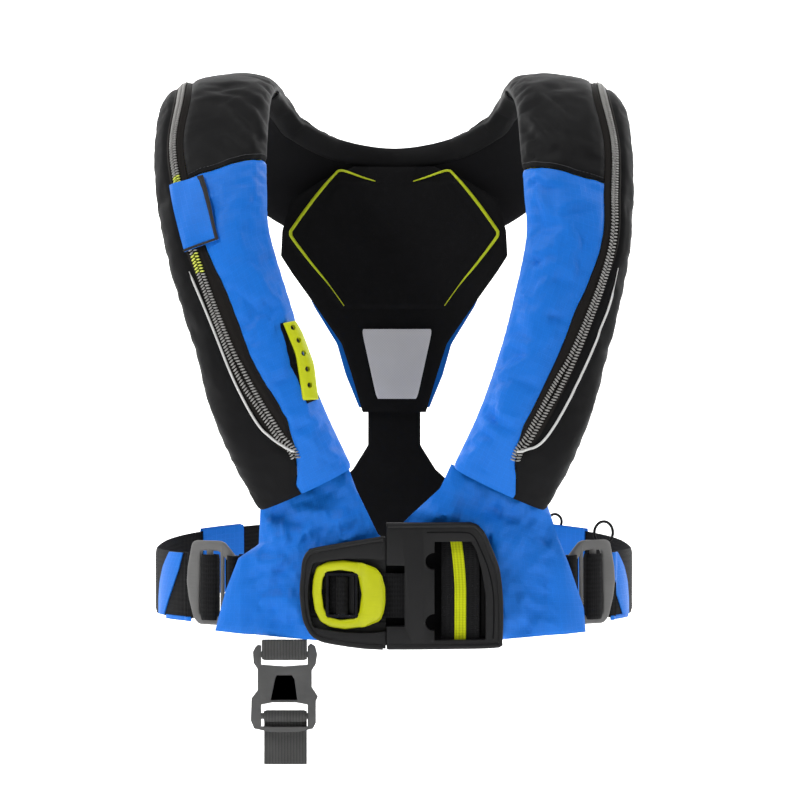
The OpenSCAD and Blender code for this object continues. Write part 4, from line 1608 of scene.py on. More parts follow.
@dataclass
class ZipTrack:
    """The long zip: two ribbed tapes, its teeth and its slider."""

    first_k: float = 0.56
    tooth_pitch: float = 2.1
    tooth: tuple[float, float, float] = (1.35, 4.2, 1.9)
    stagger: float = 1.2

    def edges(self, k: Array) -> tuple[Array, Array, Array]:
        """Inner tape edge, zip line and outer tape edge at station k.

        Args:
            k: station indices.

        Returns:
            Three arrays of angles in degrees.
        """
        half = k < LAST / 2
        blue = np.where(half, LEFT.blue_edge(k), RIGHT.blue_edge(k))
        outer = np.where(half, LEFT.side_edge(k), RIGHT.side_edge(k))
        line = np.where(half, LEFT.zip_line(k), RIGHT.zip_line(k))
        return blue, line, outer

    def tapes(self) -> None:
        """Two tapes, each with a raised rib along its middle and a cord at the teeth."""
        for name, inner in (("inner", True), ("outer", False)):
            def low(k: Array, inner: bool = inner) -> Array:
                """Lower angle of the tape.

                Args:
                    k: station indices.
                    inner: whether it is the inner tape.

                Returns:
                    Angles in degrees.
                """
                blue, line, _ = self.edges(k)
                return blue + 0.2 if inner else line + 0.05

            def high(k: Array, inner: bool = inner) -> Array:
                """Upper angle of the tape.

                Args:
                    k: station indices.
                    inner: whether it is the inner tape.

                Returns:
                    Angles in degrees.
                """
                _, line, outer = self.edges(k)
                return line - 0.05 if inner else outer + 0.2

            def ribs(k: Array, c: Array, inner: bool = inner) -> Array:
                """Height of the tape's rib, groove and cord.

                Args:
                    k: station indices, which the height does not depend on.
                    c: position across, 0 to 1.
                    inner: whether it is the inner tape.

                Returns:
                    Heights in millimetres.
                """
                d = 1 - c if inner else c
                rib = 1.0 * np.exp(-(((d - 0.62) / 0.17) ** 2))
                cord = 0.7 * np.exp(-(((d - 0.22) / 0.09) ** 2))
                return rib + cord

            tape = CASING.patch(
                f"zip_tape_{name}", self.first_k, LAST - self.first_k, low, high, -1.7, -0.8,
                "zip_tape_black",
                tuck=0.3, columns=16, profile=ribs, pitch=3.0,
            )
            dress(tape, "jacket", "zip_tape_black", *(["zip_tape"] if inner else []))

    def teeth(self) -> None:
        """Two rows of teeth, lime for a hand's width beside the burst flap."""
        k = CASING.steps(self.first_k + 0.13, LAST - self.first_k - 0.13, self.tooth_pitch / 2)
        line = self.edges(k)[1]
        parity = np.where(np.arange(len(k)) % 2 == 0, -1.0, 1.0)
        row = CASING.row(k)
        reach = np.maximum(row[..., 6] * 0.75, 20)
        phi = line + parity * np.degrees(self.stagger / reach)
        points = CASING.skin(k, phi, np.full_like(k, 0.15))
        track = CASING.skin(k, line, np.full_like(k, 0.15))
        along = unit(np.gradient(track, axis=0))
        out = CASING.out_at(k, line)
        lean = unit(along + 0.28 * parity[:, None] * np.cross(out, along))
        lime = ((k > 3.72) & (k < 3.96)) | ((k > 5.2) & (k < 5.38))
        size = tuple(v * MM for v in self.tooth)
        for name, pick, finish in (("zip_teeth", ~lime, "zip_teeth"), ("zip_teeth_lime", lime, "teeth_lime")):
            chain = BEADS.lay(name, points[pick], lean[pick], out[pick], size, finish, 0.03)
            dress(chain, "jacket", "zip_teeth", *(["zip_chain"] if finish == "zip_teeth" else []))

    def build(self) -> None:
        """Makes the tapes and the teeth."""
        self.tapes()
        self.teeth()


@dataclass
class CollarCloth:
    """The collar's cover, the wearer-side lining and the soft neck band."""

    collar_k: float = 10.4

    def lining_edge(self, k: Array) -> Array:
        """Where the lining meets the fabric wrapped round the inner edge.

        Args:
            k: station indices.

        Returns:
            Angles in degrees.
        """
        own = np.minimum(k, LAST - k)
        return 346.0 + 13.5 * np.clip((own - 10.2) / 0.4, 0, 1)

    def build(self) -> None:
        """Makes the four pieces."""
        a, b = self.collar_k, LAST - self.collar_k
        inner = CASING.patch(
            "collar_inner_fabric", a, b, steady(0.5), beside_zip(-11.5), -1.6, 0.1,
            "shell_black", end_tuck=(0.15, 0.15), columns=44,
        )
        outer = CASING.patch(
            "collar_outer_fabric", a, b, beside_zip(11.4), steady(179.5), -1.6, 0.0,
            "shell_black", end_tuck=(0.15, 0.15), columns=16,
        )
        dress(inner, "jacket", "shell_black", "collar_cover")
        dress(outer, "jacket", "shell_black")
        lining = CASING.patch(
            "cover_lining_fabric", 0.0, float(LAST), steady(180.5), self.lining_edge, -1.6, 0.0,
            "lining_black", columns=44, pitch=3.4,
        )
        dress(lining, "jacket", "lining_black", "cover_lining")
        band = CASING.patch(
            "neck_band_fabric", 8.5, LAST - 8.5, steady(303), steady(352), 0.3, 1.6,
            "shell_black", columns=16, tuck=1.0,
            profile=lambda k, c: 0.5 * np.sin(np.pi * c) ** 0.6,
        )
        dress(band, "jacket", "lining_black", "neck_band")


@dataclass
class BurstFlap:
    """The fabric tab over the zip's weak point, with a dark border of hem and painted shadow."""

    k0: float = 4.0
    k1: float = 5.2
    from_zip: float = -24.5
    to_zip: float = 7.0

    def build(self) -> None:
        """Makes the tab and its dark border on two sides, hem and painted shadow, both flatter than the
        cover.
        """
        folds = CASING.field
        CASING.field = folds * 0.25
        side = beside_zip(self.from_zip), beside_zip(self.to_zip)
        tab = CASING.patch(
            "burst_flap_fabric", self.k0, self.k1, side[0], side[1], 2.1, 3.5, "ripstop_blue", tuck=0.5,
            pitch=1.8,
            columns=26, profile=lambda k, c: 0.35 * np.sin(9 * c + 5 * k),
        )
        dress(tab, "burst_flap", "ripstop_blue", "zip_burst_flap")
        # the dark border on the free edge and foot is the real hem widened by painted shadow under the flap's
        # edge
        inner_edge = CASING.patch(
            "burst_flap_hem_side", self.k0, self.k1, side[0], beside_zip(self.from_zip + 3.2), 3.3, 4.2,
            "hem_grey",
            tuck=0.5, pitch=2.0, columns=6,
        )
        lower = CASING.patch(
            "burst_flap_hem_foot", self.k0, self.k0 + 0.03, side[0], side[1], 3.3, 4.25, "hem_grey", tuck=0.5,
            pitch=0.8, columns=26,
        )
        for hem in (inner_edge, lower):
            dress(hem, "burst_flap", "shell_black")
        CASING.field = folds


@dataclass
class PullHandle:
    """The manual inflator's moulded grip, its row of holes, and a black sheet under it as painted shadow."""

    k0: float = 1.42
    k1: float = 2.93
    low: float = 3.0
    high: float = 29.0
    hole_r: float = 2.1
    hole_at: tuple[float, ...] = (0.09, 0.255, 0.435, 0.63, 0.82)
    left: tuple[tuple[float, float], ...] = (
        (-78.5, -172.4), (-73.9, -183.8), (-69.9, -194.1), (-67.6, -206.6), (-65.9, -218.1), (-64.8, -227.2),
    )
    right: tuple[tuple[float, float], ...] = (
        (-70.3, -170.3), (-65.1, -179.2), (-60.3, -191.8), (-56.8, -202.0), (-55.1, -215.8), (-53.7, -226.6),
    )

    def sheet(self, rows: int, cols: int) -> tuple[Array, Array]:
        """The arched strip's middle surface in metres and its outward direction.

        Args:
            rows: points along it.
            cols: points across it.

        Returns:
            Points and unit vectors.
        """
        left, right = smooth_line(self.left, rows)[:, None], smooth_line(self.right, rows)[:, None]
        u = np.linspace(0, 1, cols)[None, :, None]
        flat = left + (right - left) * u
        k = np.linspace(self.k1, self.k0, rows)
        near = CASING.skin(k, np.full(rows, self.high - 1.0), np.full(rows, 1.6))[:, 1] / MM
        far = CASING.skin(k, np.full(rows, self.low + 6.0), np.full(rows, 2.2))[:, 1] / MM
        fit = [np.polyval(np.polyfit(np.arange(rows), v, 2), np.arange(rows))[:, None] for v in (near, far)]
        across = u[..., 0]
        y = fit[0] + (fit[1] - fit[0]) * across**1.3 - 1.4 * np.sin(np.pi * across) - 1.2
        points = np.stack([flat[..., 0], y, flat[..., 1]], axis=-1) * MM
        out = unit(np.cross(np.gradient(points, axis=0), np.gradient(points, axis=1)))
        return points, out * np.sign(-out[..., 1:2])

    def build(self) -> None:
        """Makes the pierced grip and a black sheet behind it as painted shadow of the gap under the grip."""
        rows, cols = 72, 20
        points, out = self.sheet(rows, cols)
        u = np.linspace(-1, 1, cols)[None, :]
        v = np.linspace(-1, 1, rows)[:, None]
        rims = [np.minimum(1, (1.02 - np.abs(c) ** power) ** 0.5) for c, power in ((u, 7), (v, 40))]
        half = (1.35 * rims[0] * rims[1])[..., None] * MM
        grip = grid_solid("pull_handle_grip", points + out * half, points - out * half, "handle_lime")
        bm = bmesh.new()
        for share in self.hole_at:
            i, j = int(share * (rows - 1)), int(0.56 * (cols - 1))
            turn = Vector(out[i, j]).to_track_quat("Z", "Y").to_matrix().to_4x4()
            bmesh.ops.create_cone(
                bm, cap_ends=True, segments=24, radius1=self.hole_r * MM, radius2=self.hole_r * MM,
                depth=9 * MM, matrix=Matrix.Translation(Vector(points[i, j])) @ turn,
            )
        mesh = bpy.data.meshes.new("hole_cutters")
        bm.to_mesh(mesh)
        bm.free()
        cutter = linked("hole_cutters", mesh)
        cut = grip.modifiers.new("holes", "BOOLEAN")
        cut.operation, cut.object, cut.solver = "DIFFERENCE", cutter, "EXACT"
        settle(grip).set_sharp_from_angle(angle=math.radians(40))
        bpy.data.objects.remove(cutter)
        dress(grip, "handle", "handle_lime", "pull_handle")
        # black sheet under the grip, showing at its left edge and through its holes: painted shadow of the
        # gap between grip and fabric
        painted_shadow = CASING.patch(
            "handle_pocket", self.k0 + 0.03, self.k1 - 0.03, steady(1.0), steady(self.high + 4.0),
            0.0, 0.6, "lining_black", tuck=0.4, columns=16,
        )
        dress(painted_shadow, "jacket", "shell_black")


# ---------------------------------------------------------------- harness

OVAL_Y, SIDE_R, SIDE_X, ARC_R = -8.0, 78.0, 102.0, 248.0
FRONT_CY, BACK_CY, JOIN = 128.0, -144.0, 36.87
BELT_Z, BELT_IN, BELT_T, BELT_W, BACK_RISE = -366.0, 2.8, 2.2, 50.0, 8.0


def back_point(x: Array, z: Array, t: Array) -> Array:
    """Points on the back yoke's arc, t outside the torso's oval, in metres.

    Args:
        x: distances across in millimetres.
        z: heights in millimetres.
        t: distances outside the surface in millimetres.

    Returns:
        Points.
    """
    x, z, t = np.broadcast_arrays(x, z, t)
    return np.stack([x, BACK_CY + np.sqrt((ARC_R + t) ** 2 - x**2), z], axis=-1) * MM


def front_point(x: Array, z: Array, t: Array) -> Array:
    """Points on the waist's front arc, t outside the torso's oval, in metres.

    Args:
        x: distances across in millimetres.
        z: heights in millimetres.
        t: distances outside the surface in millimetres.

    Returns:
        Points.
    """
    x, z, t = np.broadcast_arrays(x, z, t)
    return np.stack([x, FRONT_CY - np.sqrt((ARC_R + t) ** 2 - x**2), z], axis=-1) * MM


def oval_point(a: Array, t: Array, z: Array) -> Array:
    """Points on the belt's oval.

    Args:
        a: direction of the outward normal in degrees.
        t: distance outside the torso in millimetres.
        z: height from the belt's middle.

    Returns:
        Points in metres, climbing behind the widest part.
    """
    a, t, z = np.broadcast_arrays(np.asarray(a, float), np.asarray(t, float), np.asarray(z, float))
    back = np.abs(a - 90) < JOIN
    cx = np.where(a > 90 + JOIN, -SIDE_X, np.where(back, 0.0, SIDE_X))
    cy = np.where(back, BACK_CY, OVAL_Y)
    r = np.where(back, ARC_R, SIDE_R) + t
    x = cx + r * np.cos(np.radians(a))
    y = cy + r * np.sin(np.radians(a)) - OVAL_Y
    u = np.clip((y + 20) / 50, 0, 1)
    lean = np.radians(BACK_RISE) * u * u * (3 - 2 * u)
    level = OVAL_Y + y * np.cos(lean) - z * np.sin(lean)
    height = BELT_Z + y * np.sin(lean) + z * np.cos(lean)
    return np.stack([x, level, height], axis=-1) * MM


def bumps(x: Array, z: Array, seed: int, scale: float) -> Array:
    """Soft crumple: a sum of seeded waves in many directions, about -1 to 1.

    Args:
        x: distances across in millimetres.
        z: heights in millimetres.
        seed: which waves.
        scale: their usual length in millimetres.

    Returns:
        Heights.
    """
    rng = np.random.default_rng(seed)
    total = np.zeros(np.broadcast(x, z).shape)
    for _ in range(9):
        angle, phase = rng.uniform(0, math.pi), rng.uniform(0, 2 * math.pi)
        f = rng.uniform(0.6, 1.7) / scale
        wave = np.sin(2 * math.pi * f * (x * math.cos(angle) + z * math.sin(angle)) + phase)
        total += wave * np.abs(wave)
    return total / 3.4


@dataclass
class BackYoke:
    """The padded yoke down the wearer's back, with its cover, piping and reflector."""

    pad_in: float = -16.0
    pad_out: float = -8.0
    outline: tuple[tuple[float, float], ...] = (
        (-36, 33), (-42, 46), (-47, 58), (-64, 84), (-90, 91), (-110, 92), (-124, 83), (-152, 63), (-181, 43),
        (-206, 35), (-237, 26),
    )
    cover: tuple[tuple[float, float], ...] = (
        (-114, 60), (-122, 78), (-150, 66), (-181, 47), (-206, 40), (-233, 29),
    )
    piping: tuple[tuple[float, float], ...] = (
        (15.5, -48), (28, -44), (39, -40.2), (44.5, -39.4), (49, -43), (66, -64), (82, -87), (84, -91.5),
        (82, -96.5),
        (68, -115), (54, -132), (41, -150),
    )

    def half_width(self, z: Array, table: Sequence[tuple[float, float]]) -> Array:
        """Half the width at height z from a table of (z, half-width).

        Args:
            z: heights in millimetres.
            table: the pairs, from top to bottom.

        Returns:
            Half widths in millimetres.
        """
        zs = np.array([p[0] for p in table][::-1], float)
        ws = np.array([p[1] for p in table][::-1], float)
        return np.interp(z, zs, ws)

    def relief(self, x: Array, z: Array) -> Array:
        """Height of the quilted surface towards the wearer, in millimetres.

        Args:
            x: distances across in millimetres.
            z: heights in millimetres.

        Returns:
            Heights.
        """
        ax = np.abs(x)
        edge = self.half_width(z, self.outline) - ax
        rim = 1 - np.exp(-np.clip(edge, 0, None) / 2.2)
        line = np.array(self.piping)
        z_up, z_low = line[:9], line[8:]
        inside = np.where(
            z > -92,
            np.interp(z, z_up[::-1, 1], z_up[::-1, 0]) - ax,
            np.interp(z, z_low[::-1, 1], z_low[::-1, 0]) - ax,
        )
        inside = np.minimum(inside, -42 - z + 0.12 * ax)
        inside = np.where(z < -150, -5.0, inside)
        plate = 1 / (1 + np.exp(-(inside + 3.0) / 1.3))
        groove = np.exp(-(((inside - 9.0) / 2.2) ** 2)) * 0.8 * (z > -150)
        dish = np.exp(-(((x) / 52) ** 2) - (((z + 112) / 36) ** 2)) * 1.4
        return -1.6 * (1 - rim) + 2.0 * plate - groove - dish + 0.5 * bumps(x, z, 5, 60)

    def build(self) -> None:
        """Makes the pad, its cover, piping, reflector and the strap below."""
        z = np.linspace(-36, -237, 121)[:, None]
        s = np.linspace(-1, 1, 91)[None]
        x = s * self.half_width(z, self.outline)
        height = self.relief(x, z)
        wearer = back_point(x, z, self.pad_in - height)
        behind = back_point(x, z, np.full_like(x, self.pad_out) - 0.4 * (1 - np.abs(s) ** 6))
        pad = grid_solid("back_pad_fabric", wearer, behind, "pad_black")
        dress(pad, "jacket", "pad_black", "back_pad")
        z2 = np.linspace(-114, -233, 50)[:, None]
        s2 = np.linspace(-1, 1, 41)[None]
        x2 = s2 * self.half_width(z2, self.cover)
        crumple = 0.7 * bumps(x2, z2, 11, 34)
        cover = grid_solid(
            "back_cover_fabric", back_point(x2, z2, -4.6 + crumple), back_point(x2, z2, -6.4 + crumple * 0.6),
            "ripstop_blue"
        )
        dress(cover, "jacket", "ripstop_blue", "back_cover")
        self.trim()
        self.strap()

    def trim(self) -> None:
        """The tapering piping on each side and the reflector with its raised border."""
        line = smooth_line(self.piping, 140)
        f = np.linspace(0, 1, 140)
        radius = (0.35 + 1.0 * np.sin(np.pi * np.clip(f * 1.12, 0, 1)) ** 0.7) * MM
        radius = np.maximum(radius, 0.3 * MM)
        for side, name in ((-1, "left"), (1, "right")):
            x, z = side * line[:, 0], line[:, 1]
            path = back_point(x, z, self.pad_in - self.relief(x, z) - 0.35)
            out = np.broadcast_to(np.array([0.0, -1.0, 0.0]), path.shape)
            piece = tube(f"yoke_piping_{name}", path, radius, "piping_lime", out, 0.75)
            dress(piece, "jacket", "piping_lime", *(["pad_piping"] if name == "left" else []))
        z = np.linspace(-169, -226, 34)[:, None]
        s = np.linspace(-1, 1, 25)[None]
        corner = 1 - 0.06 * np.exp(-(z + 226) / 2.0) - 0.05 * np.exp((z + 169) / 2.0)
        half = np.interp(z, [-226, -169], [16.5, 29.0]) * corner
        x = s * half + 2.2
        lift = 0.9 - 0.55 * np.clip(np.maximum(np.abs(s) - 0.9, 0) / 0.1, 0, 1) ** 2
        face = back_point(x, z, self.pad_in - 2.1 - lift)
        patch = grid_solid(
            "reflector_patch", face, back_point(x, z, self.pad_in - 0.4), "reflective_silver"
        )
        dress(patch, "jacket", "reflective_silver", "back_reflector")

    def strap(self) -> None:
        """The strap from the yoke to the belt, flaring at its foot."""
        table = ((-238, 21.5), (-264, 21.5), (-284, 34), (-300, 52), (-322, 57), (-338, 58))
        z = np.linspace(-236, -337, 56)[:, None]
        s = np.linspace(-1, 1, 31)[None]
        x = s * self.half_width(z, table)
        x, z = np.broadcast_arrays(x, z)
        y = 93 + (z + 238) * math.tan(math.radians(6.0))
        soft = 0.5 * bumps(x, z, 3, 40) - 1.0 * np.clip((np.abs(s) - 0.93) / 0.07, 0, 1)
        front = np.stack([x, y - 2.4 - soft, z], axis=-1) * MM
        back = np.stack([x, y + 2.4, z], axis=-1) * MM
        piece = grid_solid("back_strap_fabric", front, back, "pad_black")
        dress(piece, "jacket", "pad_black", "back_strap")


@dataclass
class WaistPanels:
    """The two padded blue panels that flare from the lobes over the belt."""

    columns: int = 74
    rows: int = 54

    def panel(
        self, name: str, near: Sequence[tuple[float, float, float]],
        far: Sequence[tuple[float, float, float]],
        lift: Callable[[Array, Array], Array], node: str, seed: int,
    ) -> None:
        """Makes one panel, ruled between its two upright edges.

        Args:
            name: the object's name.
            near: (x, z, share) of the left edge from top to bottom.
            far: (x, z, share) of the right edge from top to bottom.
            lift: outer height at (x, z).
            node: the CAD node it replaces.
            seed: which crumple it gets.
        """
        v = np.linspace(0, 1, self.rows + 1)[:, None]
        u = np.linspace(0, 1, self.columns + 1)[None]
        sides = [
            [np.interp(v, [p[2] for p in edge], [p[i] for p in edge]) for i in (0, 1)] for edge in (near, far)
        ]
        x = sides[0][0] + (sides[1][0] - sides[0][0]) * u
        z = sides[0][1] + (sides[1][1] - sides[0][1]) * u
        wide = sides[1][0] - sides[0][0]
        edge = np.minimum(np.minimum(u, 1 - u) * wide, np.minimum(v, 1 - v) * 100)
        puff = 1 - np.exp(-np.clip(edge, 0, None) / 4.0)
        fan = np.sin((x * 0.5 + z * 1.0) * 2 * math.pi / 44 + 1.2 * np.sin(z / 16)) * np.exp(
            -(((z + 306) / 26) ** 2)
        )
        sharp = bumps(x, z, seed + 3, 30)
        ridge = 1.6 * (0.5 - np.abs(sharp)) * (np.abs(sharp) < 0.5)
        crumple = 2.4 * bumps(x, z, seed, 46) + 1.1 * bumps(x, z, seed + 9, 21) + 2.2 * fan + 1.5 * ridge
        base = lift(x, z)
        quiet = np.clip((np.abs(base - 13.0) - 0.3) / 2.5, 0, 1)
        crumple = crumple * (1 - 0.85 * quiet)
        outer_t = base - 2.6 * (1 - puff) + crumple * puff
        thick = np.where(base > 14.5, 1.2, np.clip(base - 7.0, 1.2, 6.0))
        inner_t = np.minimum(base - 0.5 * (1 - puff) - thick * puff - 0.8, outer_t - 0.9)
        piece = grid_solid(name, front_point(x, z, outer_t), front_point(x, z, inner_t), "ripstop_blue")
        dress(piece, "jacket", "ripstop_blue", node)

    def build(self) -> None:
        """Makes both panels and the dark lining behind the buckle."""

        def left_lift(x: Array, z: Array) -> Array:
            """Height of the left panel, rising over the adjuster.

            Args:
                x: distances across in millimetres.
                z: heights in millimetres; not used.

            Returns:
                Heights outside the torso.
            """
            return 13.0 + 4.4 * np.clip((-100 - x) / 12, 0, 1)

        def right_lift(x: Array, z: Array) -> Array:
            """Height of the right panel, hollow behind the tether.

            Args:
                x: distances across in millimetres.
                z: heights in millimetres.

            Returns:
                Heights outside the torso.
            """
            inside = np.minimum(np.minimum(x - 15, 71 - x), np.minimum(z + 405, -325 - z))
            return 13.0 + 4.4 * np.clip((x - 114) / 12, 0, 1) - 4.2 * np.clip(inside / 3 + 0.5, 0, 1)

        self.panel(
            "left_waist_fabric",
            ((-97.5, -298, 0), (-99, -333, 0.32), (-114, -343, 0.46), (-124, -368, 0.7), (-132, -397.5, 1)),
            ((-33, -275.5, 0), (-27, -292, 0.16), (-11, -325, 0.45), (-6, -328, 0.5), (-6, -405, 1)),
            left_lift, "left_waist_panel", 21,
        )
        self.panel(
            "right_waist_fabric",
            ((42, -273.5, 0), (34, -291, 0.2), (12, -311, 0.42), (6, -317, 0.48), (6, -405.5, 1)),
            ((113, -303, 0), (121, -328, 0.25), (129, -347, 0.45), (141, -381, 0.8), (142.5, -399, 1)),
            right_lift, "right_waist_panel", 34,
        )
        x = np.linspace(-10, 66.5, 50)[:, None]
        z = np.linspace(-404.6, -329.5, 40)[None]
        t = 13.7 - 4.0 * np.clip((x - 20) / 4, 0, 1)
        liner = grid_solid("buckle_lining", front_point(x, z, t), front_point(x, z, t - 1.0), "lining_black")
        dress(liner, "jacket", "shell_black")


def around(outline: Sequence[tuple[float, float]], centre: tuple[float, float], n: int) -> Array:
    """Points of a closed outline at even angles about a centre.

    Args:
        outline: (x, z) corners in order.
        centre: a point all of the outline can be seen from.
        n: how many points.

    Returns:
        n points, slightly rounded at the corners.
    """
    ring = np.array([*outline, outline[0]], float)
    dense = np.concatenate([np.linspace(p, q, 40, endpoint=False) for p, q in zip(ring[:-1], ring[1:])])
    d = dense - np.array(centre)
    angle = np.arctan2(d[:, 1], d[:, 0])
    order = np.argsort(angle)
    want = np.linspace(-math.pi, math.pi, n, endpoint=False)
    r = np.interp(want, angle[order], np.hypot(d[:, 0], d[:, 1])[order], period=2 * math.pi)
    blur = np.array([1, 3, 4, 3, 1]) / 12
    r = sum(w * np.roll(r, i - 2) for i, w in enumerate(blur))
    return np.stack([centre[0] + r * np.cos(want), centre[1] + r * np.sin(want)], axis=-1)


def ring_plate(
    name: str, outer: Array, inner: Array, place: Callable[[Array, Array, Array], Array],
    middle: float | Array,
    half: float, finish: str, square: float = 0.5,
) -> bpy.types.Object:
    """A moulded ring between two outlines with rounded edges.

    Args:
        name: the object's name.
        outer: outer outline, (x, z).
        inner: inner outline, (x, z), the same number of points.
        place: gives metres for x, height and z.
        middle: the height of its middle.
        half: half its thickness.
        finish: the finish's name.
        square: 1 gives a round section and smaller values a squarer one.

    Returns:
        The object.
    """
    a = np.linspace(0, 2 * math.pi, 20, endpoint=False)[None]
    c, s = np.cos(a), np.sin(a)
    across = np.sign(c) * np.abs(c) ** square
    up = np.sign(s) * np.abs(s) ** square
    centre, reach = (outer + inner) / 2, (outer - inner) / 2
    x = centre[:, :1] + reach[:, :1] * across
    z = centre[:, 1:] + reach[:, 1:] * across
    height = np.broadcast_to(np.asarray(middle, float), (len(outer),))[:, None] + half * up
    points = place(x, height, z)
    rows, cols = x.shape
    idx = np.arange(rows * cols).reshape(rows, cols)
    nxt, right = np.roll(idx, -1, axis=0), np.roll(idx, -1, axis=1)
    faces = np.stack([idx, nxt, np.roll(nxt, -1, axis=1), right], axis=-1).reshape(-1, 4)
    piece = new_piece(name, points.reshape(-1, 3), faces.tolist(), finish, None, 50.0)
    piece.data.materials[0] = WARDROBE.flat_copy(finish)
    face_outwards(piece)
    return piece


@dataclass
class Belt:
    """The waist belt, its sleeves and tabs, and the webbing in the ladder adjusters."""

    left_deg: float = 31.2
    right_deg: float = 34.5
    adjuster_t: float = 8.3
    half_l: float = 26.0
    adjuster_out: tuple[tuple[float, float], ...] = (
        (-20.5, 32.5), (-18, 34.4), (4.8, 34.6), (9, 33.2), (20.5, 21.5), (25, 14), (26, 8), (26, -20),
        (23, -26),
        (18, -28), (-14, -28), (-19, -23.5), (-23.5, -9), (-25.4, 3), (-24.5, 14.6),
    )
    adjuster_in: tuple[tuple[float, float], ...] = (
        (-12.4, 27), (3.5, 27), (6.5, 25.5), (14.5, 17.5), (18.5, 12), (19, 6), (19, -18), (16, -21),
        (-13.2, -21),
        (-13.9, -10),
    )

    def end_angle(self, deg: float) -> float:
        """The oval angle past the join where an adjuster's outer end lies.

        Args:
            deg: the adjuster's angle on the front arc.

        Returns:
            The angle in degrees.
        """
        turn = math.degrees(math.asin((self.half_l + 1.5) / ARC_R))
        return JOIN + (deg + turn - JOIN) * (ARC_R + BELT_IN) / (SIDE_R + BELT_IN)

    def strap(
        self, name: str, a0: float, a1: float, t: float, half: float, thick: float, finish: str, n: int
    ) -> bpy.types.Object:
        """Webbing round the oval between two normal angles.

        Args:
            name: the object's name.
            a0: first angle.
            a1: last angle.
            t: its middle's distance outside the torso.
            half: half its width in millimetres.
            thick: its thickness in millimetres.
            finish: the finish's name.
            n: how many points along it.

        Returns:
            The object.
        """
        a = np.linspace(a0, a1, n)
        centre = oval_point(a, t, 0.0)
        across = unit(oval_point(a, t, 5.0) - oval_point(a, t, -5.0))
        out = unit(oval_point(a, t + 4.0, 0.0) - centre)
        return ribbon(name, centre, across, out, half * MM, thick * MM, finish, sides=14)

    def adjuster_frame(self, deg: float, mirror: int) -> Callable[[Array, Array, Array], Array]:
        """Points in an adjuster's own axes: x inward along the belt, y towards the wearer, z up.

        Args:
            deg: the adjuster's angle on the front arc.
            mirror: 1 on the left and -1 on the right.

        Returns:
            A function that gives metres.
        """
        turn = math.radians(-deg)

        def place(x: Array, y: Array, z: Array) -> Array:
            """One set of points in metres.

            Args:
                x: places inward along the belt.
                y: places towards the wearer.
                z: heights.

            Returns:
                Points.
            """
            x, y, z = np.broadcast_arrays(np.asarray(x, float), np.asarray(y, float), np.asarray(z, float))
            yy = y - (ARC_R + self.adjuster_t)
            px = x * math.cos(turn) - yy * math.sin(turn)
            py = x * math.sin(turn) + yy * math.cos(turn) + FRONT_CY
            return np.stack([px * mirror, py, z + BELT_Z], axis=-1) * MM

        return place

    def threading(self, side: str, deg: float, mirror: int) -> None:
        """The webbing that turns over an adjuster's middle bar, and its lead from the belt.

        Args:
            side: left or right.
            deg: the adjuster's angle on the front arc.
            mirror: 1 on the left and -1 on the right.
        """
        place = self.adjuster_frame(deg, mirror)
        path = smooth_line(
            [(-30, 4.6), (-24, 4.6), (-17, 4.2), (-13.4, 2.2), (-11.6, -0.8), (-9.6, -3.1), (-6.6, -3.9),
            (-4.3, -4.0),
             (-1.9, -3.8), (1.3, -2.9), (3.0, -0.4), (2.2, 2.2), (-0.5, 3.6), (-5, 3.9), (-10, 4.4)], 70
        )
        zero = np.zeros(len(path))
        centre = place(path[:, 0], path[:, 1], zero)
        up = upright(len(path))
        along = unit(np.gradient(centre, axis=0))
        out = np.cross(along, up) * -mirror
        piece = ribbon(
            f"{side}_adjuster_belt", centre, up, out, 24.4 * MM, 1.7 * MM, "webbing_black", sides=14
        )
        dress(piece, f"{side}_adjuster", "webbing_black", f"{side}_adjuster_webbing")
        a_end = self.end_angle(deg)
        a0 = 270 - a_end if side == "left" else a_end - 90
        away = -34 if side == "left" else 34
        a = np.linspace(a0 + away, a0, 26)
        lead = oval_point(a, BELT_IN + BELT_T / 2, 0.0)
        tip = place(np.array([-28.0, -24.0]), np.array([4.7, 4.6]), np.zeros(2))
        line = smooth_line(np.concatenate([lead[:-2], tip]), 54)
        along = unit(np.gradient(line, axis=0))
        out = unit(np.cross(along, upright(54)))
        out *= np.sign(np.sum(out * (line - np.array([0, OVAL_Y * MM, BELT_Z * MM])), axis=1, keepdims=True))
        webbing = ribbon(
            f"{side}_belt_lead", line, upright(54), out, 24.8 * MM, 1.9 * MM, "webbing_black", sides=14
        )
        ends = (tuple(line[8]), tuple(line[-3]))
        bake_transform(webbing)
        self.tab(side, 270 - a_end - 34, line, out, ends)
        outer = around(self.adjuster_out, (0, 2), 180)
        inner = around(self.adjuster_in, (0, 2), 180)
        body = ring_plate(f"{side}_adjuster_body", outer, inner, place, 0.4, 2.0, "adjuster_grey", 0.55)
        dress(body, f"{side}_adjuster", "adjuster_grey", f"{side}_adjuster")
        z = np.linspace(-24, 29, 12)
        bar = tube(
            f"{side}_adjuster_bar", place(np.full(12, -4.3), np.zeros(12), z), 2.9 * MM, "adjuster_grey",
            place(0, 1, z) - place(0, 0, z), 0.55,
        )
        dress(bar, f"{side}_adjuster", "adjuster_grey")
        rail = tube(
            f"{side}_adjuster_rail", place(np.full(12, 7.5), np.full(12, -0.6), np.linspace(-25, 31, 12)),
            1.7 * MM,
            "adjuster_grey", place(0, -1, z) - place(0, 0, z), 0.7,
        )
        dress(rail, f"{side}_adjuster", "adjuster_grey")
        x = np.linspace(9.6, 19.5, 9)
        loop = ribbon(
            f"{side}_adjuster_inner_belt", place(x, np.full(9, 0.3), np.zeros(9)), upright(9),
            place(x, np.full(9, -1.0), np.zeros(9)) - place(x, np.zeros(9), np.zeros(9)), 22.5 * MM, 1.8 * MM,
            "webbing_black", sides=14,
        )
        dress(loop, f"{side}_adjuster", "webbing_black")

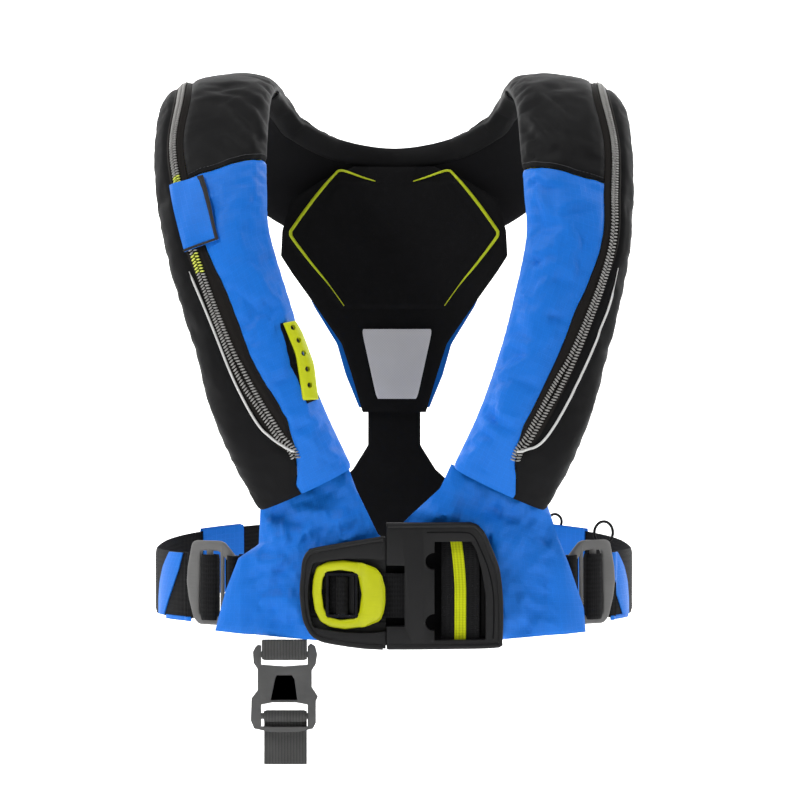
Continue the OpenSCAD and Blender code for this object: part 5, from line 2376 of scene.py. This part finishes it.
    def build(self) -> None:
        """Makes the belt's webbing, sleeves and tabs."""
        a0 = self.end_angle(self.right_deg) - 90 + 33
        a1 = 270 - self.end_angle(self.left_deg) - 33
        back = self.strap("waist_belt", a0, a1, BELT_IN + BELT_T / 2, BELT_W / 2, 2.2, "webbing_black", 120)
        dress(back, "jacket", "webbing_black", "belt_webbing")
        for side, deg, mirror in (("left", self.left_deg, 1), ("right", self.right_deg, -1)):
            self.threading(side, deg, mirror)
            middle = 124.5 if side == "left" else 55.5
            span = (middle - 5.2, middle + 5.2)
            sleeve = self.strap(f"{side}_belt_sleeve", *span, 6.0, 27.0, 1.6, "ripstop_blue", 30)
            under = self.strap(f"{side}_belt_sleeve_back", *span, 1.9, 27.0, 1.3, "ripstop_blue", 30)
            dress(sleeve, "jacket", "ripstop_blue", *(["belt_sleeves"] if side == "left" else []))
            dress(under, "jacket", "ripstop_blue")

    def tab(self, side: str, first: float, line: Array, out: Array, ends: tuple[Array, Array]) -> None:
        """The crescent tab and the hem along the lower edge of a belt lead.

        Args:
            side: left or right.
            first: the belt angle at the line's start, counted as on the left.
            line: the lead's middle line.
            out: its outward directions.
            ends: where the bend of the lead starts and ends; not used.
        """
        v = np.linspace(-1, 1, 27)[:, None]
        w = np.linspace(0, 1, 15)[None]
        low = np.interp(v, [-1, -0.5, 0, 0.5, 1], [201, 201, 203, 207.5, 215])
        high = np.interp(v, [-1, -0.5, 0, 0.5, 1], [209, 214, 219, 223.5, 226.5])
        at = np.clip((low + (high - low) * w - first) / 34 * 50, 0, 52)
        count = np.arange(len(line))
        base = np.stack([np.interp(at, count, line[:, i]) for i in range(3)], axis=-1)
        away = unit(np.stack([np.interp(at, count, out[:, i]) for i in range(3)], axis=-1))
        base[..., 2] += v * 24.2 * MM
        bulge = (0.5 * (1 - (2 * w - 1) ** 2))[..., None] * MM
        piece = grid_solid(
            f"{side}_belt_tab", base + away * 1.9 * MM + bulge * away, base + away * 1.05 * MM, "ripstop_blue"
        )
        hem_line = line[20:53] + np.array([0, 0, -25.2]) * MM + out[20:53] * 0.4 * MM
        hem = ribbon(
            f"{side}_belt_hem", hem_line, upright(33), out[20:53], 1.7 * MM, 1.4 * MM, "ripstop_blue"
        )
        for item in (piece, hem):
            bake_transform(item)
        if side == "left":
            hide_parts("belt_tabs")


@dataclass
class Buckle:
    """The hook-over buckle, its carriage, the tether plate and the tether webbing."""

    rim_r: float = 1.9
    groove: tuple[tuple[float, float], ...] = (
        (24, -322.2), (50, -322.4), (57.5, -325), (62.5, -334), (68.5, -349), (72, -366), (72.6, -385),
        (72, -399.5),
    )
    frame_out: tuple[tuple[float, float], ...] = (
        (-58.9, -367), (-58.2, -356), (-55.6, -347.6), (-48, -344), (-36.5, -342.6), (-21.7, -344.4),
        (-12.2, -348),
        (-8.4, -353), (-6.0, -362), (-5.8, -372), (-6.9, -379.4), (-9.6, -385.6), (-21.7, -390.6),
        (-35.4, -392.5),
        (-46, -391), (-53, -387), (-57, -379),
    )
    frame_in: tuple[tuple[float, float], ...] = (
        (-52, -366), (-51.2, -356), (-48.2, -351), (-38.6, -349.8), (-29, -351), (-25.2, -355), (-23, -367),
        (-24.6, -380), (-27.5, -384.6), (-38.6, -385.8), (-47.6, -383.6), (-50.6, -377),
    )
    carriage: tuple[tuple[float, float], ...] = (
        (-7.5, -326.8), (-20, -328.8), (-40, -332.2), (-58, -336), (-63.5, -342), (-65, -352), (-66, -366),
        (-64, -384),
        (-59.5, -394), (-54, -398.6), (-46, -401), (-24, -404), (-7.5, -405),
    )
    plate: tuple[tuple[float, float], ...] = (
        (-4, -317.5), (20, -317.2), (54, -317.2), (61, -320), (65.5, -326), (71, -339), (75.2, -351),
        (77.4, -373),
        (77, -401), (74, -404.4), (40, -404.6), (-4, -404.6),
    )

    def rim(
        self, name: str, line: Sequence[tuple[float, float]], t: float, radius: float, body: str,
        finish: str = "moulded_black",
    ) -> None:
        """A soft raised rim along an outline.

        Args:
            name: the object's name.
            line: (x, z) points of the outline.
            t: its distance outside the torso.
            radius: its radius in millimetres.
            body: the body it moves with.
            finish: the finish's name.
        """
        path = smooth_line(line, 110)
        points = front_point(path[:, 0], path[:, 1], np.full(110, t))
        out = unit(front_point(path[:, 0], path[:, 1], np.full(110, t + 5.0)) - points)
        piece = tube(name, points, radius * MM, finish, out, 0.85, sides=14)
        piece.data.materials[0] = WARDROBE.flat_copy(finish)
        dress(piece, body, "moulded_black")

    def build(self) -> None:
        """Makes the hard parts and their webbing."""
        for node, width in (("buckle_carriage", 1.3), ("tether_plate", 1.2)):
            piece = soften(f"{node}_body", node, "moulded_black", width * MM)
            dress(piece, "jacket", "moulded_black", node)
        self.rim("carriage_rim", self.carriage, 24.8, self.rim_r, "jacket")
        self.rim("plate_rim", self.plate, 26.6, self.rim_r, "jacket")
        # a thin bead of the darkest black standing on the plate along its groove: painted shade of the groove
        self.rim("plate_groove", self.groove, 27.1, 0.45, "jacket", "lining_black")
        z = np.linspace(-327.5, -368, 24)[:, None]
        inner = np.interp(z, [-368, -351, -336, -327.5], [66.6, 64.0, 60.0, 55.0])
        x = inner + (68.0 - inner) * np.linspace(0, 1, 8)[None]
        gusset = grid_solid("plate_gusset", front_point(x, z, 26.9), front_point(x, z, 24.6), "moulded_black")
        gusset.data.materials[0] = WARDROBE.flat_copy("moulded_black")
        dress(gusset, "jacket", "moulded_black")
        outer = around(self.frame_out, (-34, -367), 200)
        inner = around(self.frame_in, (-34, -367), 200)

        def curved(x: Array, t: Array, z: Array) -> Array:
            """The frame's place on the front arc, its pivot side a thin hood over the webbing.

            Args:
                x: distances across in millimetres.
                t: distances outside the surface in millimetres.
                z: heights in millimetres.

            Returns:
                Points in metres.
            """
            rise = np.clip((x + 26) / 7, 0, 1)
            rise = rise * rise * (3 - 2 * rise)
            lift = np.where(t > 20.4, 3.9, 6.5) * rise - 2.0 * (np.clip(x + 10.5, 0, 5) / 4.7) ** 2
            return front_point(x, z, t + lift)

        body = ring_plate("buckle_frame_body", outer, inner, curved, 20.4, 2.1, "frame_lime", 0.6)
        dress(body, "frame", "frame_lime", "buckle_frame")
        self.tether()

    def tether(self) -> None:
        """The bowed tether webbing and the lime stripe along it."""
        mid_x, half, bow = 48.25, 35.5, 4.0
        radius = half * half / (2 * bow) + bow / 2
        top = FRONT_CY - math.sqrt((ARC_R + 24.6) ** 2 - 2400)
        reach = math.degrees(math.asin(half / radius))
        a = np.radians(np.linspace(-reach, reach, 60))
        for name, half_w, lift, thick, finish, node in (
            ("tether_webbing_strap", 13.7, -1.1, 2.1, "webbing_black", "tether_webbing"),
            ("tether_lime_stripe", 4.15, 0.4, 0.7, "stripe_lime", "tether_stripe"),
        ):
            r = radius + lift
            y, z = top + radius - r * np.cos(a), -364.5 + r * np.sin(a)
            sway = 0.0 if "webbing" in name else -3.0 * np.clip(a / a[-1], 0, 1) ** 1.6
            centre = np.stack([np.broadcast_to(mid_x + sway, a.shape), y, z], axis=-1) * MM
            out = np.stack([np.zeros_like(a), -np.cos(a), np.sin(a)], axis=-1)
            across = np.tile([1.0, 0.0, 0.0], (60, 1))
            slot = "webbing_black" if "webbing" in name else "stripe_lime"
            dress(ribbon(name, centre, across, out, half_w * MM, thick * MM, finish), "jacket", slot, node)


@dataclass
class CrotchStrap:
    """The thigh-strap hanger: its loop, the clip and the strap's cut end."""

    x: float = -79.8
    y: float = -117.0
    bar_z: float = -413.0
    low_z: float = -458.0

    def build(self) -> None:
        """Makes the three pieces."""
        dress(
            soften("crotch_clip_body", "crotch_clip", "clip_grey", 0.9 * MM), "clip", "clip_grey",
            "crotch_clip"
        )
        r = 3.45
        bend = np.radians(np.linspace(0, -180, 22))
        down = [(self.y - r, z) for z in np.linspace(self.bar_z + 10.6, self.bar_z + 0.5, 8)]
        turn = [(self.y - r * math.cos(b), self.bar_z + r * math.sin(b)) for b in bend]
        up = [(self.y + r, z) for z in np.linspace(self.bar_z + 0.5, self.bar_z + 10.6, 8)]
        self.web("crotch_loop_webbing", np.array(down + turn + up), self.x, 16.4, "jacket", "crotch_loop")
        bend = np.radians(np.linspace(0, 350, 34))
        ring = [(self.y + r * math.cos(b), self.low_z + r * math.sin(b)) for b in bend][::-1]
        tail = [(self.y + r, z) for z in np.linspace(self.low_z - 1, -493.8, 26)]
        self.web("crotch_strap_webbing", np.array(ring + tail), self.x + 0.6, 15.7, "strap", "crotch_strap")

    def web(self, name: str, yz: Array, x: float, half: float, body: str, node: str) -> None:
        """Webbing along a path in the vertical plane at x.

        Args:
            name: the object's name.
            yz: (y, z) points of its middle line.
            x: its place across.
            half: half its width in millimetres.
            body: the body it moves with.
            node: the CAD node it replaces.
        """
        centre = np.stack([np.full(len(yz), x), yz[:, 0], yz[:, 1]], axis=-1) * MM
        along = unit(np.gradient(centre, axis=0))
        across = np.tile([1.0, 0.0, 0.0], (len(yz), 1))
        out = np.cross(across, along)
        dress(
            ribbon(name, centre, across, out, half * MM, 1.7 * MM, "webbing_grey", sides=14), body,
            "webbing_grey", node
        )


class Hardware:
    """The CAD nodes that keep their shape."""

    def paint(self) -> None:
        """Gives each kept CAD node its finish."""
        slots = {part["node"]: part["material_slot"] for part in frame["record"]["subparts"]}
        for name, piece in frame["nodes"].items():
            material = WARDROBE.flat_copy(slots[name])
            for place in piece.material_slots:
                place.material = material


@dataclass
class Bladders:
    """The folded air bladder in three lengths."""

    clear: float = 3.6

    def tube(self, name: str, node: str, k0: float, k1: float, finish: str) -> None:
        """One length of folded bladder with pleats along it.

        Args:
            name: the object's name.
            node: the CAD node it replaces.
            k0: first station.
            k1: last station.
            finish: the finish's name.
        """
        k = CASING.steps(k0, k1, 5.0)[:, None]
        phi = np.linspace(0, 360, 48, endpoint=False)[None]
        row = CASING.row(k)
        c, s = np.cos(np.radians(phi)), np.sin(np.radians(phi))
        height = np.where(
            s > 0, np.clip(np.interp(k, BLADDER_K, BLADDER_H) - 1.2, -20, 20), row[..., 8] - self.clear
        )
        pleat = 0.5 * np.sin(np.radians(phi * 9)) * (np.abs(c) > 0.3)
        a = (row[..., 6] - self.clear + pleat) * np.sign(c) * np.abs(c) ** 0.83
        b = height * np.sign(s) * np.abs(s) ** 0.83
        _, n, inner = CASING.frame_at(k)
        points = (row[..., :3] + inner * a[..., None] + n * b[..., None]) * MM
        run = lengths(points[:, 0])[:, None]
        uv = np.stack(np.broadcast_arrays(run, phi * 0.0004), axis=-1)
        piece = close_tube(name, points, uv, finish)
        dress(piece, "jacket", "bladder_yellow", node)

    def build(self) -> None:
        """Makes the three lengths."""
        spans = {"left": (0.35, 9.85), "collar": (10.05, LAST - 10.05), "right": (LAST - 9.85, LAST - 0.35)}
        for place, (k0, k1) in spans.items():
            self.tube(f"{place}_bladder_folded", f"{place}_bladder", k0, k1, "bladder_yellow")


# Height of the bladder's upper face at each station, clear of the equipment
BLADDER_H = [
    -4, -7, -8, -8, -7, 8, 13, 12, 11, 11, 11, 6, 3, 3, 3, 6, 11, 11, 11, 12, 13, 8, -7, -8, -8, -7, -4
]
BLADDER_K = list(range(27))


class Studio:
    """Floor and backdrop, soft lights, plain world and camera."""

    def sweep(self) -> None:
        """A pale floor that curves up into the backdrop."""
        y = np.concatenate(
            [np.linspace(-4.0, 1.6, 14), 1.6 + 1.2 * np.sin(np.linspace(0, math.pi / 2, 16)[1:]), [2.8, 2.8]]
        )
        rise = 1.2 * (1 - np.cos(np.linspace(0, math.pi / 2, 16)[1:]))
        z = -0.565 + np.concatenate([np.zeros(14), rise, [2.4, 4.5]])
        x = np.array([-5.0, 5.0])
        points = np.stack([np.tile(x, len(y)), np.repeat(y, 2), np.repeat(z, 2)], axis=-1)
        idx = np.arange(len(points)).reshape(-1, 2)
        faces = np.stack([idx[:-1, 0], idx[:-1, 1], idx[1:, 1], idx[1:, 0]], axis=1)
        mesh = bpy.data.meshes.new("floor")
        mesh.from_pydata(points.tolist(), [], faces.tolist())
        mesh.shade_smooth()
        floor = linked("floor", mesh)
        material = bpy.data.materials.new("paper")
        book = NodeBook(material)
        grain = book.noise(book.place(False), 3.0)
        book.close(
            {"Base Color": book.mix(grain, (0.93, 0.93, 0.93), (0.95, 0.95, 0.95)), "Roughness": 0.9,
             "Emission Color": (1.0, 1.0, 1.0, 1.0), "Emission Strength": 0.5}, None, 0.0
        )
        mesh.materials.append(material)

    def light(
        self, name: str, place: tuple[float, float, float], aim: tuple[float, float, float], size: float,
        power: float
    ) -> None:
        """A square soft light.

        Args:
            name: its name.
            place: where it stands, in metres.
            aim: what it points at.
            size: its side length.
            power: its power in watts.
        """
        data = bpy.data.lights.new(name, "AREA")
        data.shape, data.size, data.energy = "SQUARE", size, power
        lamp = linked(name, data)
        lamp.location = place
        lamp.rotation_euler = (Vector(aim) - Vector(place)).to_track_quat("-Z", "Y").to_euler()

    def build(self) -> None:
        """Sets the stage, the lights, the world and the camera."""
        self.sweep()
        self.light("key", (-1.5, -1.5, 1.6), (0, 0, -0.2), 0.6, 34)
        self.light("fill", (1.7, -2.2, 0.5), (0, 0, -0.25), 1.4, 9)
        self.light("top", (0.1, -0.3, 1.9), (0, 0, -0.2), 1.2, 17)
        self.light("backdrop_left", (-2.2, 0.9, 1.0), (0.0, 2.8, 0.3), 1.6, 75)
        self.light("backdrop_right", (2.2, 0.9, 1.0), (0.0, 2.8, 0.3), 1.6, 75)
        scene = bpy.context.scene
        world = bpy.data.worlds.new("studio")
        world.use_nodes = True
        world.node_tree.nodes["Background"].inputs[0].default_value = (1.0, 1.0, 1.0, 1.0)
        world.node_tree.nodes["Background"].inputs[1].default_value = 0.12
        scene.world = world
        scene.view_settings.view_transform = "Standard"
        data = bpy.data.cameras.new("camera")
        data.sensor_width, data.lens = 36.0, 104.8
        camera = linked("camera", data)
        camera.location = (0.0047, -1.820, -0.227)
        camera.rotation_euler = (math.radians(90), 0, 0)
        scene.camera = camera


CREASES = (
    Crease(6.8, 76, 5.84, 17, 1.5, 3.5), Crease(6.24, 76, 5.64, 40, 1.2, 3.0),
    Crease(5.92, 81, 5.52, 53, 1.1, 3.0),
    Crease(6.92, 61, 6.48, 12, 1.2, 3.5), Crease(3.44, 82, 3.36, 62, 1.0, 3.0),
    Crease(3.04, 88, 3.04, 72, 0.9, 3.0),
    Crease(3.2, 49, 3.04, 15, 1.0, 3.5), Crease(2.72, 77, 2.84, 43, 0.9, 3.5),
    Crease(2.12, 67, 2.08, 23, 0.9, 3.5),
    Crease(4.48, 61, 4.28, 13, 0.8, 3.5), Crease(4.12, 67, 4.08, 28, 0.7, 3.0),
    Crease(1.16, 74, 1.12, 40, 1.2, 4.0),
    Crease(22.46, 41, 22.48, 93, 1.7, 3.2), Crease(22.4, 12, 22.2, 54, 1.5, 3.0),
    Crease(22.88, 10, 22.76, 47, 1.3, 3.0),
    Crease(22.96, 50, 22.8, 92, 1.4, 3.2), Crease(24.76, 10, 24.84, 74, 1.9, 3.6),
    Crease(23.16, 8, 23.2, 38, 1.2, 3.0),
    Crease(23.32, 68, 23.24, 90, 1.1, 3.0), Crease(20.88, 14, 21.24, 61, 1.5, 3.2),
    Crease(21.64, 55, 21.4, 99, 1.5, 3.0),
    Crease(19.48, 7, 20.32, 52, 1.3, 3.6), Crease(19.44, 43, 20.12, 72, 1.1, 3.2),
    Crease(19.04, 60, 19.64, 88, 1.0, 3.2),
    Crease(20.4, 8, 20.36, 67, 1.1, 3.4), Crease(23.52, 8, 23.56, 54, 1.2, 3.2),
    Crease(24.24, 4, 23.96, 46, 1.2, 3.4),
    Crease(25.16, 2, 25.16, 56, 1.6, 4.0), Crease(21.64, 4, 21.88, 40, 1.2, 3.0),
    Crease(21.2, 20, 21.9, 30, 1.2, 3.0),
)


def main() -> None:
    """Builds every sub-assembly in order."""
    Studio().build()
    folds = FabricFolds(CASING)
    folds.simulate()
    folds.press(CREASES)
    cover = (LEFT, RIGHT, CollarCloth(), ZipTrack(), BurstFlap(), PullHandle())
    harness = (BackYoke(), WaistPanels(), Belt(), Buckle(), CrotchStrap())
    for part in (*cover, *harness, Bladders()):
        part.build()
    Hardware().paint()


if __name__ == "__main__":
    main()
